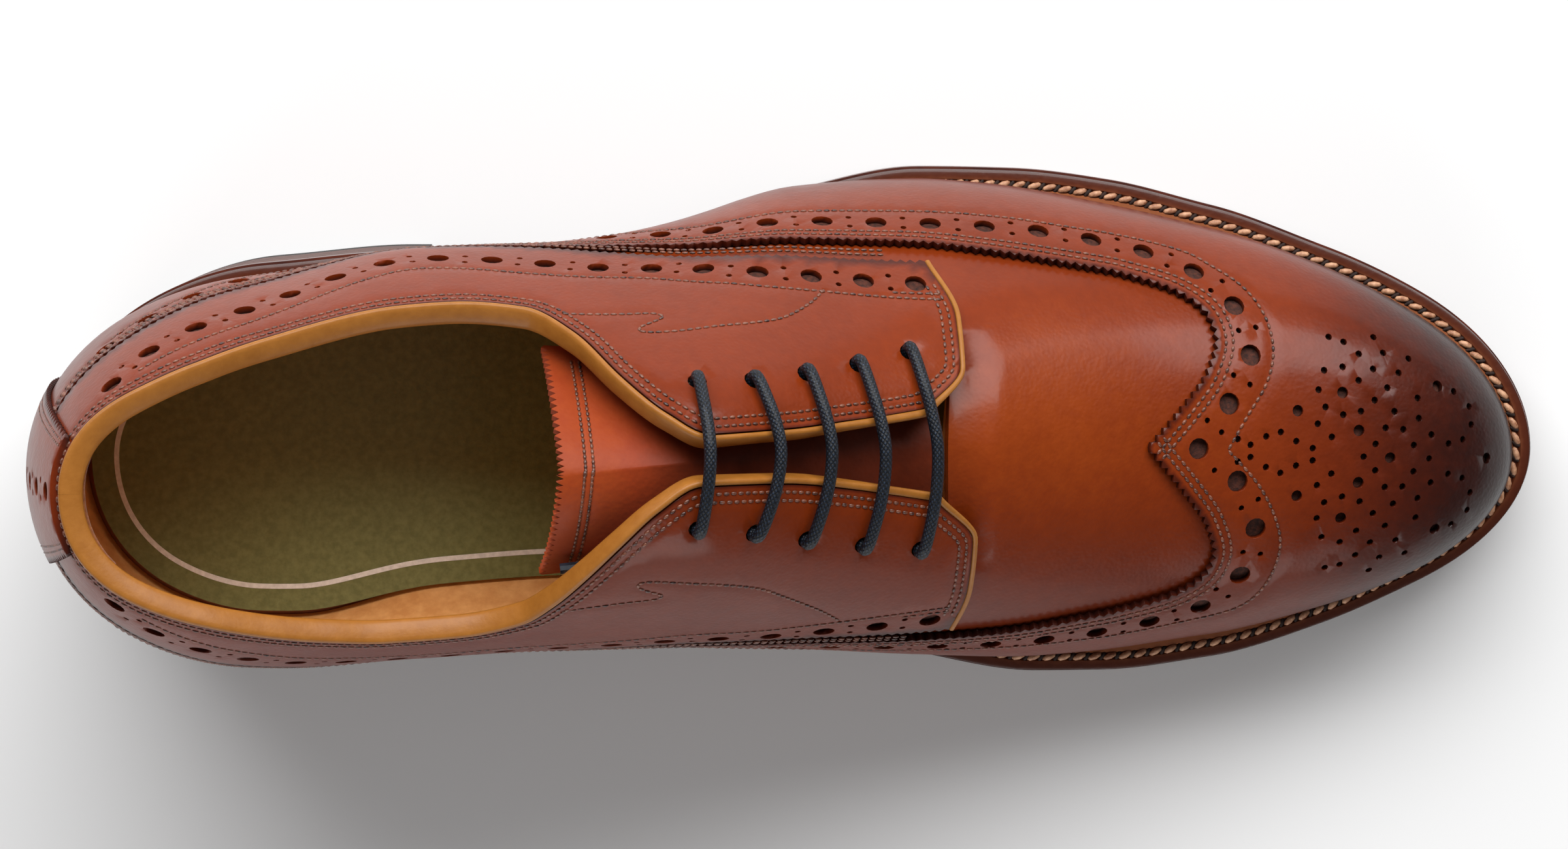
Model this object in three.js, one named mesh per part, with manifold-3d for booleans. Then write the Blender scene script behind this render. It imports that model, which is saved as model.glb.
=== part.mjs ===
// A left longwing brogue derby shoe in leather, built as its real pieces: a lasted upper in
// layers, a welted leather sole with its insole, rib, cork and shank, a stacked heel, a lace.
// Millimetres. +X runs to the toe, +Y to the outer (lateral) side, +Z up.
// The origin is under the middle of the shoe's box, on the ground.
import * as THREE from "three";
import Module from "manifold-3d";
import { mergeVertices } from "three/addons/utils/BufferGeometryUtils.js";

// ---------- driving sizes ----------
const soleLength = 301.5; // heel back to toe, along the outsole
const ballWidth = 105.2; // outsole across the ball of the foot
const backHeight = 69; // quarter above the heel seat, at the back seam
const heelHeight = 25; // heel block under the outsole, at the back
const toeSpring = 10; // lift of the toe tip off the ground
const outsoleThickness = 4.7;
const weltThickness = 2.7;
const insoleThickness = 2.6;
const sockThickness = 1.1;
const leatherThickness = 1.3; // vamp, wing, quarters
const liningThickness = 1.0;
const backstayThickness = 1.1;
const bindingWidth = 2.2; // rolled binding beyond the cut edge of the quarter
const bindingFrontWidth = 1.2; // the same down the quarter's front edge
const tongueThickness = 1.3;
const laceDiameter = 2.4;
const laceHoleClearance = 0.7; // all round the lace, in the quarter's holes
const agletLength = 15;
const gap = 0.3; // between pieces that touch on the real shoe
const layerGap = 0.4; // between curved layers of the upper
const liftCount = 3;
const topPieceThickness = 6;
const heelBreast = 74; // heel back to the front of the heel
const breastBow = 3.5; // how far the heel's front curves back in its middle
const nailRadius = 0.9;
const nailLength = 9.5;
const nailInset = 9;
const nailCount = 5;
const shankWidth = 14;
const shankThickness = 1.2;
const shankFrom = 58;
const shankTo = 168;
const ribInset = 9; // insole edge to the stitching rib
const ribWidth = 2.4;
const tonguePress = 1.5; // spare room between the lace's hidden runs and the tongue

// ---------- the base-size pattern, graded to the driving sizes ----------
const patternLength = 301.5;
const patternBall = 105.2;
const patternBack = 69;
const gradeX = soleLength / patternLength;
const gradeY = ballWidth / patternBall;
const gradeZ = backHeight / patternBack;

// Smooth curve through stations [x, value], without overshoot.
function along(stations, x) {
  const n = stations.length;
  const slope = (i) =>
    (stations[i + 1][1] - stations[i][1]) / (stations[i + 1][0] - stations[i][0]);
  const span = (i) => stations[i + 1][0] - stations[i][0];
  const tangent = (i) => {
    if (i === 0) return slope(0);
    if (i === n - 1) return slope(n - 2);
    const before = slope(i - 1);
    const after = slope(i);
    if (before * after <= 0) return 0;
    const a = span(i - 1);
    const b = span(i);
    return (a + b) / ((a / 3 + (2 * b) / 3) / before + ((2 * a) / 3 + b / 3) / after);
  };
  let i = 0;
  while (i < n - 2 && x > stations[i + 1][0]) i++;
  const h = span(i);
  const u = Math.min(1.5, Math.max(-0.5, (x - stations[i][0]) / h));
  const [a, b] = [stations[i][1], stations[i + 1][1]];
  const [ma, mb] = [tangent(i) * h, tangent(i + 1) * h];
  const [u2, u3] = [u * u, u * u * u];
  return (
    (2 * u3 - 3 * u2 + 1) * a + (u3 - 2 * u2 + u) * ma + (3 * u2 - 2 * u3) * b + (u3 - u2) * mb
  );
}
const clamp = (v, lo, hi) => Math.min(hi, Math.max(lo, v));
const mix = (a, b, u) => a + (b - a) * u;

// The last, as stations along the sole. "Out" is to the lateral side, "in" to the medial side.
const last = {
  back: 1.5,
  tip: 295.3,
  out: [
    [0, 29.8], [20, 30.2], [45, 32.5], [75, 38.3], [100, 39.4], [125, 42.5], [150, 48.4],
    [175, 50], [190, 49], [215, 44.7], [240, 39], [260, 35.5], [280, 33.6], [295, 33.6],
  ],
  in: [
    [0, 43.2], [20, 43.1], [50, 44.3], [75, 42.9], [100, 42], [125, 42.3], [150, 43.9],
    [175, 46], [195, 47], [210, 46.2], [235, 42.8], [260, 39.7], [280, 39], [295, 39],
  ],
  ridgeSide: [
    [0, -4.5], [60, -4], [100, -2], [135, 1.2], [175, 0.5], [220, -0.8], [260, -3.5],
    [295, -5.5],
  ],
  ridgeRise: [
    [0, 85], [70, 81.5], [100, 83], [130, 85.5], [150, 78], [175, 66.8], [200, 54],
    [220, 45.4], [240, 38.2], [260, 32], [280, 27.3], [295, 23.5],
  ],
  tuckOut: [[0, 4], [50, 4], [80, 7.5], [105, 6.5], [130, 2], [150, 1], [200, 1.5], [295, 2]],
  tuckIn: [[0, 4], [50, 5], [80, 10.5], [110, 11], [140, 6], [165, 2.5], [200, 1.5], [295, 2]],
  roundOut: [[0, 2.1], [60, 2], [100, 1.75], [130, 1.55], [160, 1.55], [200, 1.9], [240, 2.2], [270, 2.4]],
  roundIn: [[0, 2.1], [60, 2], [200, 2.1], [240, 2.2], [270, 2.4]],
  heelRound: 40,
  heelPower: 2.05,
  toeRound: 62,
  toePower: 1.95,
  profileRound: 40,
  profilePower: 2.3,
  tuckHeight: 24,
  backHollow: 75, // the back seam's curve fades out by here
};
const sole = {
  out: [
    [0, 31.5], [20, 32.2], [45, 34.4], [70, 36.4], [95, 36.4], [120, 40.2], [150, 48.2],
    [175, 52.8], [195, 52.4], [215, 50], [237, 44.6], [260, 39.5], [280, 38], [301.5, 38],
  ],
  in: [
    [0, 43], [20, 43], [45, 42.6], [65, 39], [85, 34.8], [105, 33], [125, 35], [150, 42],
    [175, 48.7], [200, 52.8], [215, 52.6], [237, 49.6], [260, 45.5], [280, 43.5], [301.5, 43.5],
  ],
  middle: [[0, -4.2], [60, -3.5], [150, 0], [240, -1.5], [301.5, -5]],
  heelRound: 42,
  heelPower: 2.05,
  toeRound: 66,
  toePower: 1.95,
};
const heelRise = [[0, 1], [40, 0.98], [75, 0.88], [100, 0.68], [130, 0.36], [160, 0.1], [190, 0], [301.5, 0]];
const toeRise = [[0, 0], [215, 0], [240, 0.12], [270, 0.45], [301.5, 1]];

// Height of the feather line, where the upper meets the welt.
const stack = gap + weltThickness + gap + outsoleThickness;
function feather(x) {
  const px = x / gradeX;
  return stack + heelHeight * along(heelRise, px) + toeSpring * along(toeRise, px);
}

// Rounded end: 0 at the end, 1 from "reach" inwards.
const rounded = (distance, reach, power) =>
  Math.pow(1 - Math.pow(1 - clamp(distance / reach, 0, 1), power), 1 / power);

// A run along the last: distance from the back seam, easing in and out of the two ends, so
// that pieces can cross the back seam (negative run = medial side) and the toe tip.
const heelEase = 32 * gradeX;
const toeEase = 40 * gradeX;
const quarterTurn = Math.PI / 2;
const lastBack = last.back * gradeX;
const lastTip = last.tip * gradeX;
const straightRun = lastTip - lastBack - heelEase - toeEase;
const runTotal = heelEase * quarterTurn + straightRun + toeEase * quarterTurn;
function stationOf(run) {
  const heelRun = heelEase * quarterTurn;
  if (run < heelRun) return lastBack + heelEase * (1 - Math.cos(run / heelEase));
  if (run < heelRun + straightRun) return lastBack + heelEase + run - heelRun;
  return lastTip - toeEase * (1 - Math.cos((runTotal - run) / toeEase));
}
function runOf(patternX) {
  const x = patternX * gradeX;
  if (x < lastBack + heelEase)
    return heelEase * Math.acos(clamp(1 - (x - lastBack) / heelEase, -1, 1));
  if (x < lastTip - toeEase) return heelEase * quarterTurn + x - lastBack - heelEase;
  return runTotal - toeEase * Math.acos(clamp(1 - (lastTip - x) / toeEase, -1, 1));
}

// A point of the last's surface. t = 0 is the lateral feather, 1 the ridge, 2 the medial feather.
function lastPoint(run, t) {
  if (run < 0) return lastPoint(-run, 2 - t);
  if (run > runTotal) return lastPoint(2 * runTotal - run, 2 - t);
  const x = stationOf(run);
  const px = x / gradeX;
  const outer = t <= 1;
  const sign = outer ? 1 : -1;
  const ends =
    rounded(px - last.back, last.heelRound, last.heelPower) *
    rounded(last.tip - px, last.toeRound, last.toePower);
  const profile = rounded(last.tip - px, last.profileRound, last.profilePower);
  const ridge = along(last.ridgeSide, px);
  const half = along(outer ? last.out : last.in, px) - sign * ridge;
  const power = along(outer ? last.roundOut : last.roundIn, px);
  const angle = t * quarterTurn;
  const tuck = along(outer ? last.tuckOut : last.tuckIn, px) * ends * Math.abs(Math.cos(angle));
  const rise =
    along(last.ridgeRise, px) * gradeZ * profile * Math.pow(Math.max(0, Math.sin(angle)), 2 / power);
  const across = half * ends * Math.pow(Math.abs(Math.cos(angle)), 2 / power);
  const low = clamp(1 - rise / last.tuckHeight, 0, 1);
  const y = ridge + sign * (across - tuck * low * low);
  const h = (rise / gradeZ - 19) / 40;
  const hollow = h > 0 ? 8.5 * Math.pow(h, 1.7) : 3 * Math.pow(2 * h, 2);
  const fade = Math.pow(clamp(1 - (px - last.back) / last.backHollow, 0, 1), 2);
  return new THREE.Vector3(x + hollow * fade * gradeX, y * gradeY, feather(x) + rise);
}

// The same point pushed out along the surface normal; nothing dips under the feather line.
function upper(run, t, offset) {
  const p = lastPoint(run, t);
  const poleGuard = 0.8;
  const near = runTotal - poleGuard;
  const at = Math.abs(run - runTotal) < poleGuard ? (run > runTotal ? runTotal + poleGuard : near) : run;
  const ds = 0.4;
  const dt = 0.004;
  const tt = clamp(t, dt, 2 - dt);
  const alongRun = lastPoint(at + ds, tt).sub(lastPoint(at - ds, tt));
  const upWall = lastPoint(at, tt + dt).sub(lastPoint(at, tt - dt));
  const normal = upWall.cross(alongRun).normalize();
  p.addScaledVector(normal, offset);
  p.z = Math.max(p.z, feather(p.x));
  return p;
}

// ---------- closed solids ----------
// Triangles over a list of points, made one closed mesh with its faces pointing out.
function solid(points, triangles) {
  const keys = new Map();
  const index = points.map((p) => {
    const key = [p.x, p.y, p.z].map((v) => Math.round(v * 2000)).join();
    if (!keys.has(key)) keys.set(key, { id: keys.size, p });
    return keys.get(key).id;
  });
  const kept = triangles
    .map((tri) => tri.map((i) => index[i]))
    .filter(([a, b, c]) => a !== b && b !== c && c !== a);
  const list = [...keys.values()].map((k) => k.p);
  let volume = 0;
  for (const [a, b, c] of kept) volume += list[a].dot(list[b].clone().cross(list[c]));
  const flat = kept.flatMap(([a, b, c]) => (volume > 0 ? [a, b, c] : [a, c, b]));
  const geometry = new THREE.BufferGeometry();
  geometry.setAttribute(
    "position",
    new THREE.Float32BufferAttribute(list.flatMap((p) => [p.x, p.y, p.z]), 3),
  );
  geometry.setIndex(flat);
  geometry.computeVertexNormals();
  return geometry;
}

// A sheet between two surfaces given over a grid: top(u, v) and bottom(u, v), 0..1 each.
function sheet(columns, rows, top, bottom) {
  const points = [];
  const triangles = [];
  const at = (layer, i, j) => (layer * (columns + 1) + i) * (rows + 1) + j;
  for (const surface of [top, bottom])
    for (let i = 0; i <= columns; i++)
      for (let j = 0; j <= rows; j++) points.push(surface(i / columns, j / rows));
  const quad = (a, b, c, d) => triangles.push([a, b, c], [a, c, d]);
  for (let i = 0; i < columns; i++)
    for (let j = 0; j < rows; j++) {
      quad(at(0, i, j), at(0, i + 1, j), at(0, i + 1, j + 1), at(0, i, j + 1));
      quad(at(1, i, j + 1), at(1, i + 1, j + 1), at(1, i + 1, j), at(1, i, j));
    }
  for (let i = 0; i < columns; i++) {
    quad(at(0, i + 1, 0), at(0, i, 0), at(1, i, 0), at(1, i + 1, 0));
    quad(at(0, i, rows), at(0, i + 1, rows), at(1, i + 1, rows), at(1, i, rows));
  }
  for (let j = 0; j < rows; j++) {
    quad(at(0, 0, j), at(0, 0, j + 1), at(1, 0, j + 1), at(1, 0, j));
    quad(at(0, columns, j + 1), at(0, columns, j), at(1, columns, j), at(1, columns, j + 1));
  }
  return solid(points, triangles);
}

// A leather layer on the last: pattern(u, v) gives its [run, t].
const layer = (columns, rows, pattern, low, high) =>
  sheet(
    columns,
    rows,
    (u, v) => upper(...pattern(u, v), high),
    (u, v) => upper(...pattern(u, v), low),
  );

// A closed ring between an outer and an inner loop, flat between two heights over x.
function ring(count, outer, inner, top, bottom) {
  const points = [];
  const triangles = [];
  for (let i = 0; i < count; i++)
    for (const [loop, height] of [[outer, top], [inner, top], [inner, bottom], [outer, bottom]]) {
      const [x, y] = loop(i / count);
      points.push(new THREE.Vector3(x, y, height(x)));
    }
  for (let i = 0; i < count; i++)
    for (let k = 0; k < 4; k++) {
      const a = i * 4 + k;
      const b = i * 4 + ((k + 1) % 4);
      const c = ((i + 1) % count) * 4 + ((k + 1) % 4);
      const d = ((i + 1) % count) * 4 + k;
      triangles.push([a, b, c], [a, c, d]);
    }
  return solid(points, triangles);
}

// ---------- outlines in plan ----------
// The outsole's edge, u = 0..1 from the heel back by the lateral side to the toe and round.
function solePoint(u) {
  const fold = u % 1;
  const outer = fold <= 0.5;
  const way = outer ? fold * 2 : 2 - fold * 2;
  const station = stationOf(way * runTotal);
  const x = ((station - lastBack) / (lastTip - lastBack)) * patternLength;
  const middle = along(sole.middle, x);
  const half = outer ? along(sole.out, x) - middle : -along(sole.in, x) - middle;
  const ends =
    rounded(x, sole.heelRound, sole.heelPower) *
    rounded(patternLength - x, sole.toeRound, sole.toePower);
  return [x * gradeX, (middle + half * ends) * gradeY];
}
function featherPoint(u) {
  const fold = ((u % 1) + 1) % 1;
  const p = lastPoint(fold * 2 * runTotal, 0);
  return [p.x, p.y];
}
// A loop moved inwards by an inset.
const inset = (loop, distance) => (u) => {
  const du = 0.004;
  const [x, y] = loop(u);
  const [ax, ay] = loop(u - du + 1);
  const [bx, by] = loop(u + du);
  const length = Math.hypot(bx - ax, by - ay);
  return [x + ((by - ay) / length) * distance, y - ((bx - ax) / length) * distance];
};
// A plate filling a loop, ruled across from side to side.
function plate(loop, columns, rows, top, bottom, reach = 1, bow = 0) {
  const place = (height) => (u, v) => {
    const [ax, ay] = loop((u * reach) / 2);
    const [bx, by] = loop(1 - (u * reach) / 2);
    const bend = bow * u ** 4 * (1 - (2 * v - 1) ** 2);
    const x = mix(ax, bx, v) - bend;
    return new THREE.Vector3(x, mix(ay, by, v), height(x));
  };
  return sheet(columns, rows, place(top), place(bottom));
}

// ---------- cutting ----------
const wasm = await Module();
wasm.setup();
function asSolid(geometry) {
  const bare = new THREE.BufferGeometry();
  bare.setAttribute("position", geometry.getAttribute("position"));
  if (geometry.index) bare.setIndex(geometry.index);
  const merged = mergeVertices(bare, 1e-4);
  return new wasm.Manifold(
    new wasm.Mesh({
      numProp: 3,
      vertProperties: merged.attributes.position.array,
      triVerts: new Uint32Array(merged.index.array),
    }),
  );
}
function cut(geometry, cutters) {
  let body = asSolid(geometry);
  for (const cutter of cutters) body = body.subtract(asSolid(cutter));
  const mesh = body.getMesh();
  const result = new THREE.BufferGeometry();
  result.setAttribute("position", new THREE.BufferAttribute(mesh.vertProperties, 3));
  result.setIndex(new THREE.BufferAttribute(mesh.triVerts, 1));
  result.computeVertexNormals();
  return result;
}
// A round bar from one point to another.
function bar(from, to, radius, sides = 8) {
  const reach = to.clone().sub(from);
  const geometry = new THREE.CylinderGeometry(radius, radius, reach.length(), sides);
  geometry.applyQuaternion(
    new THREE.Quaternion().setFromUnitVectors(new THREE.Vector3(0, 1, 0), reach.normalize()),
  );
  const middle = from.clone().add(to).multiplyScalar(0.5);
  return geometry.translate(middle.x, middle.y, middle.z);
}

// ---------- the model ----------
const shoe = new THREE.Group();
function add(name, geometry, colour, roughness, metalness = 0) {
  const mesh = new THREE.Mesh(
    geometry,
    new THREE.MeshStandardMaterial({ color: colour, roughness, metalness }),
  );
  mesh.name = name;
  shoe.add(mesh);
  return mesh;
}
const tan = 0x96461a;
const toeBrown = 0x6b2a14;
const edgeBrown = 0x5a2a18;
const mustard = 0xbe8232;
const liningTan = 0xc88240;
const naturalLeather = 0xb98a5a;

// Offsets of the layers from the last's surface.
const baseTop = 0;
const baseLow = -leatherThickness;
const overLow = layerGap;
const overTop = overLow + leatherThickness;
const liningTop = baseLow - layerGap;
const liningLow = liningTop - liningThickness;
const backstayLow = overTop + layerGap;
const backstayTop = backstayLow + backstayThickness;
const gripTop = liningLow - layerGap;
const gripLow = gripTop - liningThickness;
const laceSlack = 0.35; // more room between the lining and the lace's hidden runs
const laceUnder = liningLow - layerGap - laceSlack - laceDiameter / 2;
const rollProud = 0.25; // the binding's roll stands this far above the quarter
const laceOver = overTop + rollProud + layerGap + laceDiameter / 2;
const tongueTop = laceUnder - laceDiameter / 2 - tonguePress;
const tongueLow = tongueTop - tongueThickness;
const tongueLiningTop = tongueLow - layerGap;
const tongueLiningLow = tongueLiningTop - liningThickness;

// Pattern lines on the last: [station, t]. Heights rise from the feather (0) to the ridge (1).
const wingTopOut = [
  [0, 0.4], [13, 0.37], [25, 0.32], [40, 0.24], [55, 0.17], [70, 0.14], [85, 0.16],
  [100, 0.2], [121, 0.27], [147, 0.36], [173, 0.41], [199, 0.47], [213, 0.49],
];
const wingTopIn = [
  [0, 0.4], [13, 0.37], [26, 0.32], [44, 0.24], [60, 0.18], [75, 0.16], [100, 0.18],
  [130, 0.25], [161, 0.33], [187, 0.4], [206, 0.46], [213, 0.48],
];
// The wing's front edge from the side (0) to its point on the ridge (1).
const wingEdgeStation = [[0, 213], [0.2, 225], [0.4, 231.5], [0.55, 233], [0.7, 231], [0.85, 226], [1, 219]];
const wingEdgeOut = [[0, 0.49], [0.2, 0.535], [0.4, 0.61], [0.55, 0.69], [0.7, 0.79], [0.85, 0.89], [1, 1]];
const wingEdgeIn = [[0, 0.48], [0.2, 0.53], [0.4, 0.61], [0.55, 0.69], [0.7, 0.79], [0.85, 0.89], [1, 1]];
const wingCorner = 213;

const quarterLowOut = [
  [0, 0.412], [13, 0.382], [25, 0.332], [40, 0.252], [55, 0.182], [70, 0.153], [85, 0.174],
  [100, 0.218], [112, 0.275], [125, 0.335], [147, 0.42], [175, 0.475], [186, 0.49],
];
const quarterLowIn = [
  [0, 0.412], [13, 0.382], [26, 0.332], [44, 0.252], [60, 0.193], [75, 0.173], [100, 0.195],
  [112, 0.24], [130, 0.305], [161, 0.385], [187, 0.455],
];
const toplineOut = [
  [0, 0.605], [10, 0.605], [19, 0.6], [34, 0.565], [48, 0.505], [60, 0.475], [73, 0.455],
  [85, 0.445], [98, 0.47], [108, 0.562], [117, 0.697], [126, 0.815], [134, 0.888],
  [147, 0.888], [160, 0.872], [174, 0.856],
];
const toplineIn = [
  [0, 0.605], [10, 0.605], [19, 0.6], [34, 0.575], [48, 0.525], [60, 0.48], [72, 0.445],
  [85, 0.45], [98, 0.51], [104, 0.59], [111, 0.7], [117, 0.79], [124, 0.88], [132, 0.94],
  [147, 0.935], [160, 0.915], [176, 0.88],
];
// Round front corner of each quarter, from the facing down to the lower edge.
const frontEdgeOut = [[0, 174], [0.25, 181], [0.6, 180.5], [1, 175]];
const frontEdgeIn = [[0, 176], [0.25, 183.5], [0.6, 183], [1, 180]];

const onSide = (side, t) => (side > 0 ? t : 2 - t);

// Wing: from the back seam along the lateral side, round the toe and back along the medial.
const seamHalf = 0.4;
function wingPattern(u, v) {
  const run = mix(seamHalf, 2 * runTotal - seamHalf, u);
  const outer = run <= runTotal;
  const own = outer ? run : 2 * runTotal - run;
  const corner = runOf(wingCorner);
  if (own <= corner) {
    const px = stationOf(own) / gradeX;
    const t = along(outer ? wingTopOut : wingTopIn, px) * v;
    return [own, outer ? t : 2 - t];
  }
  const w = (own - corner) / (runTotal - corner);
  const reach = Math.pow(v, 1 + w);
  const edgeT = along(outer ? wingEdgeOut : wingEdgeIn, w);
  const edgeRun = runOf(along(wingEdgeStation, w));
  const t = edgeT * Math.pow(reach, Math.max(0, 1 - w));
  return [mix(own, edgeRun, reach), outer ? t : 2 - t];
}
add("wing_tip", layer(60, 5, wingPattern, overLow, overTop), toeBrown, 0.35);

// Quarters: columns along the run; the front corner is rounded by bringing the last columns in.
const quarterColumns = 22;
const quarterRows = 6;
function quarterPattern(side) {
  const top = side > 0 ? toplineOut : toplineIn;
  const low = side > 0 ? quarterLowOut : quarterLowIn;
  const front = side > 0 ? frontEdgeOut : frontEdgeIn;
  return (u, v) => {
    const run = mix(seamHalf, runOf(along(front, 1 - v)), u);
    const px = stationOf(run) / gradeX;
    const tTop = along(top, Math.min(px, front[0][1]));
    return [run, onSide(side, mix(along(low, px), tTop, v))];
  };
}
const lacePairs = [
  { out: [131, 0.733], in: [131, 0.83] },
  { out: [141, 0.748], in: [141, 0.81] },
  { out: [151, 0.743], in: [151, 0.785] },
  { out: [161, 0.728], in: [162, 0.765] },
  { out: [171, 0.708], in: [173, 0.75] },
];
const holeRadius = laceDiameter / 2 + laceHoleClearance;
const laceHole = (side, k, offset) => {
  const [station, t] = side > 0 ? lacePairs[k].out : lacePairs[k].in;
  return upper(runOf(station), onSide(side, t), offset);
};
const holeCutters = (side) =>
  lacePairs.map((_, k) => bar(laceHole(side, k, liningLow - 2), laceHole(side, k, overTop + 2), holeRadius, 6));

const sides = [
  { side: 1, word: "lateral" },
  { side: -1, word: "medial" },
];
for (const { side, word } of sides) {
  const quarter = layer(quarterColumns, quarterRows, quarterPattern(side), overLow, overTop);
  add("quarter_" + word, cut(quarter, holeCutters(side)), tan, 0.38);
}

// Vamp: a U whose arms lie under the quarters' lower edges, with its outer edge under the wing.
// Stations from the end of an arm (0) to the ridge (1), for the inner and the outer edge.
const vampInner = {
  station: [[0, 112], [0.25, 145], [0.42, 170], [0.5, 178], [0.6, 181], [1, 181]],
  t: [[0, 0.37], [0.25, 0.5], [0.42, 0.62], [0.5, 0.67], [0.6, 0.73], [0.8, 0.87], [1, 1]],
};
const vampOuter = {
  station: [[0, 112], [0.25, 158], [0.42, 196], [0.55, 222], [0.7, 240], [0.82, 243], [1, 233]],
  t: [[0, 0.15], [0.25, 0.29], [0.42, 0.37], [0.55, 0.42], [0.7, 0.55], [0.82, 0.74], [1, 1]],
};
const throat = 181;
const throatDip = 3.4; // the vamp sinks under the facings towards the tongue
function dip(run, t, lead = 0) {
  const px = stationOf(run) / gradeX;
  const lengthwise = clamp((throat + 13 + lead - px) / 12, 0, 1);
  const crosswise = clamp((0.34 + lead / 150 - Math.abs(t - 1)) / 0.1, 0, 1);
  return throatDip * lengthwise * lengthwise * (3 - 2 * lengthwise) * crosswise;
}
// Puff and lining sit a little deeper round the toe's tight tip.
const toeRoom = (run) => clamp((stationOf(Math.min(run, runTotal)) / gradeX - 246) / 18, 0, 1);
const dippedLayer = (columns, rows, pattern, low, high, sink = 1, room = 0) => {
  const surface = (offset) => (u, v) => {
    const [run, t] = pattern(u, v);
    return upper(run, t, offset - sink * dip(run, t, 20 * (sink - 1)) - room * toeRoom(run));
  };
  return sheet(columns, rows, surface(high), surface(low));
};
function vampPattern(u, v) {
  const outer = u <= 0.5;
  const w = outer ? u * 2 : 2 - u * 2;
  const run = mix(runOf(along(vampOuter.station, w)), runOf(along(vampInner.station, w)), v);
  const t = mix(along(vampOuter.t, w), along(vampInner.t, w), v);
  return [run, outer ? t : 2 - t];
}
add("vamp", dippedLayer(26, 6, vampPattern, baseLow, baseTop), tan, 0.38);

// Stiffeners and linings.
const counterTop = [[0, 0.36], [20, 0.33], [45, 0.22], [62, 0.13], [70, 0.1]];
const counterEnd = runOf(70);
const counterRoom = 0.25;
add(
  "heel_counter",
  layer(
    18,
    5,
    (u, v) => {
      const run = mix(-counterEnd, counterEnd, u);
      return [run, mix(0.02, along(counterTop, stationOf(Math.abs(run)) / gradeX), v)];
    },
    baseLow,
    baseTop - counterRoom,
  ),
  naturalLeather,
  0.8,
);
const puffBack = 253;
const toeShell = (back) => (u, v) => {
  const t = mix(0.03, 1.97, u);
  return [mix(runOf(back(t)), runTotal, v), t];
};
const puffRoom = 0.5;
const liningRoom = 1.3;
const puffSurface = (offset) => (u, v) => {
  const [run, t] = toeShell(() => puffBack)(u, v);
  return upper(run, t, offset - puffRoom * toeRoom(run));
};
const puffTop = baseTop - 0.7;
add("toe_puff", sheet(16, 5, puffSurface(puffTop), puffSurface(baseLow)), naturalLeather, 0.8);
const vampLiningBack = [[0, 150], [0.45, 152], [0.6, 165], [0.7, 180], [0.75, 182], [1, 182]];
const liningBack = (t) => along(vampLiningBack, t > 1 ? 2 - t : t);
const liningPattern = (u, v) => [mix(runOf(liningBack(2 * u)), runTotal, v), 2 * u];
add(
  "vamp_lining",
  dippedLayer(18, 9, liningPattern, liningLow, liningTop, 1.45, liningRoom),
  liningTan,
  0.75,
);
const liningSeam = 2.4;
const liningShort = 0.012;
const facingFront = 172;
const stayLow = [[122, 0.62], [147, 0.6], [172, 0.665]]; // lower edge of the facing's stay
const stayRoom = 0.15;
for (const { side, word } of sides) {
  const top = side > 0 ? toplineOut : toplineIn;
  const pattern = (u, v) => {
    const tEnd = v * 0.88;
    const front = Math.min(liningBack(tEnd) - liningSeam, facingFront);
    const run = mix(seamHalf, runOf(front), u);
    return [run, onSide(side, v * (along(top, stationOf(run) / gradeX) - liningShort))];
  };
  const lining = layer(17, 8, pattern, liningLow, liningTop);
  add("quarter_lining_" + word, cut(lining, holeCutters(side)), liningTan, 0.75);
  const stay = layer(
    8,
    4,
    (u, v) => {
      const px = mix(stayLow[0][0], facingFront, u);
      return [runOf(px), onSide(side, mix(along(stayLow, px), along(top, px) - liningShort, v))];
    },
    baseLow,
    baseTop - stayRoom,
  );
  add("facing_stay_" + word, cut(stay, holeCutters(side)), 0xd8cdb8, 0.9);
}
const gripRun = 26 * gradeX;
add(
  "heel_grip",
  layer(8, 3, (u, v) => [mix(-gripRun, gripRun, u), mix(0.24, 0.57, v)], gripLow, gripTop),
  0xb7793c,
  0.9,
);
const backstayHalf = 15.5;
const backstayFlare = 1.5;
add(
  "backstay",
  layer(
    10,
    8,
    (u, v) => [mix(-1, 1, u) * (backstayHalf + backstayFlare * Math.pow(1 - v, 2)), mix(0.02, 0.585, v)],
    backstayLow,
    backstayTop,
  ),
  toeBrown,
  0.4,
);

// Binding: rolled leather along the topline, down the facing and round the quarter's corner.
function edgePath(side) {
  const top = side > 0 ? toplineOut : toplineIn;
  const front = side > 0 ? frontEdgeOut : frontEdgeIn;
  const low = side > 0 ? quarterLowOut : quarterLowIn;
  const corner = front[0][1];
  const share = quarterColumns / (quarterColumns + quarterRows);
  return (u) => {
    if (u <= share) {
      const run = mix(seamHalf, runOf(corner), u / share);
      return [run, along(top, stationOf(run) / gradeX)];
    }
    const w = (u - share) / (1 - share);
    const px = along(front, w);
    return [runOf(px), mix(along(top, corner), along(low, px), w)];
  };
}
function edgeStrip(side, count, from, width, low, high) {
  const path = edgePath(side);
  const point = (u) => {
    const [run, t] = path(u);
    return [run, onSide(side, t)];
  };
  const frame = (u) => {
    const here = point(u);
    const du = 0.004;
    const before = upper(...point(Math.max(0, u - du)), 0);
    const after = upper(...point(Math.min(1, u + du)), 0);
    const normal = upper(...here, 1).sub(upper(...here, 0));
    const outward = after.sub(before).cross(normal).normalize();
    return { here, normal, outward: outward.multiplyScalar(side) };
  };
  const place = (offset) => (u, v) => {
    const { here, outward } = frame(u);
    return upper(...here, offset(u)).addScaledVector(outward, from + width(u) * v);
  };
  return sheet(count, 1, place(() => high), place(low));
}
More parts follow.
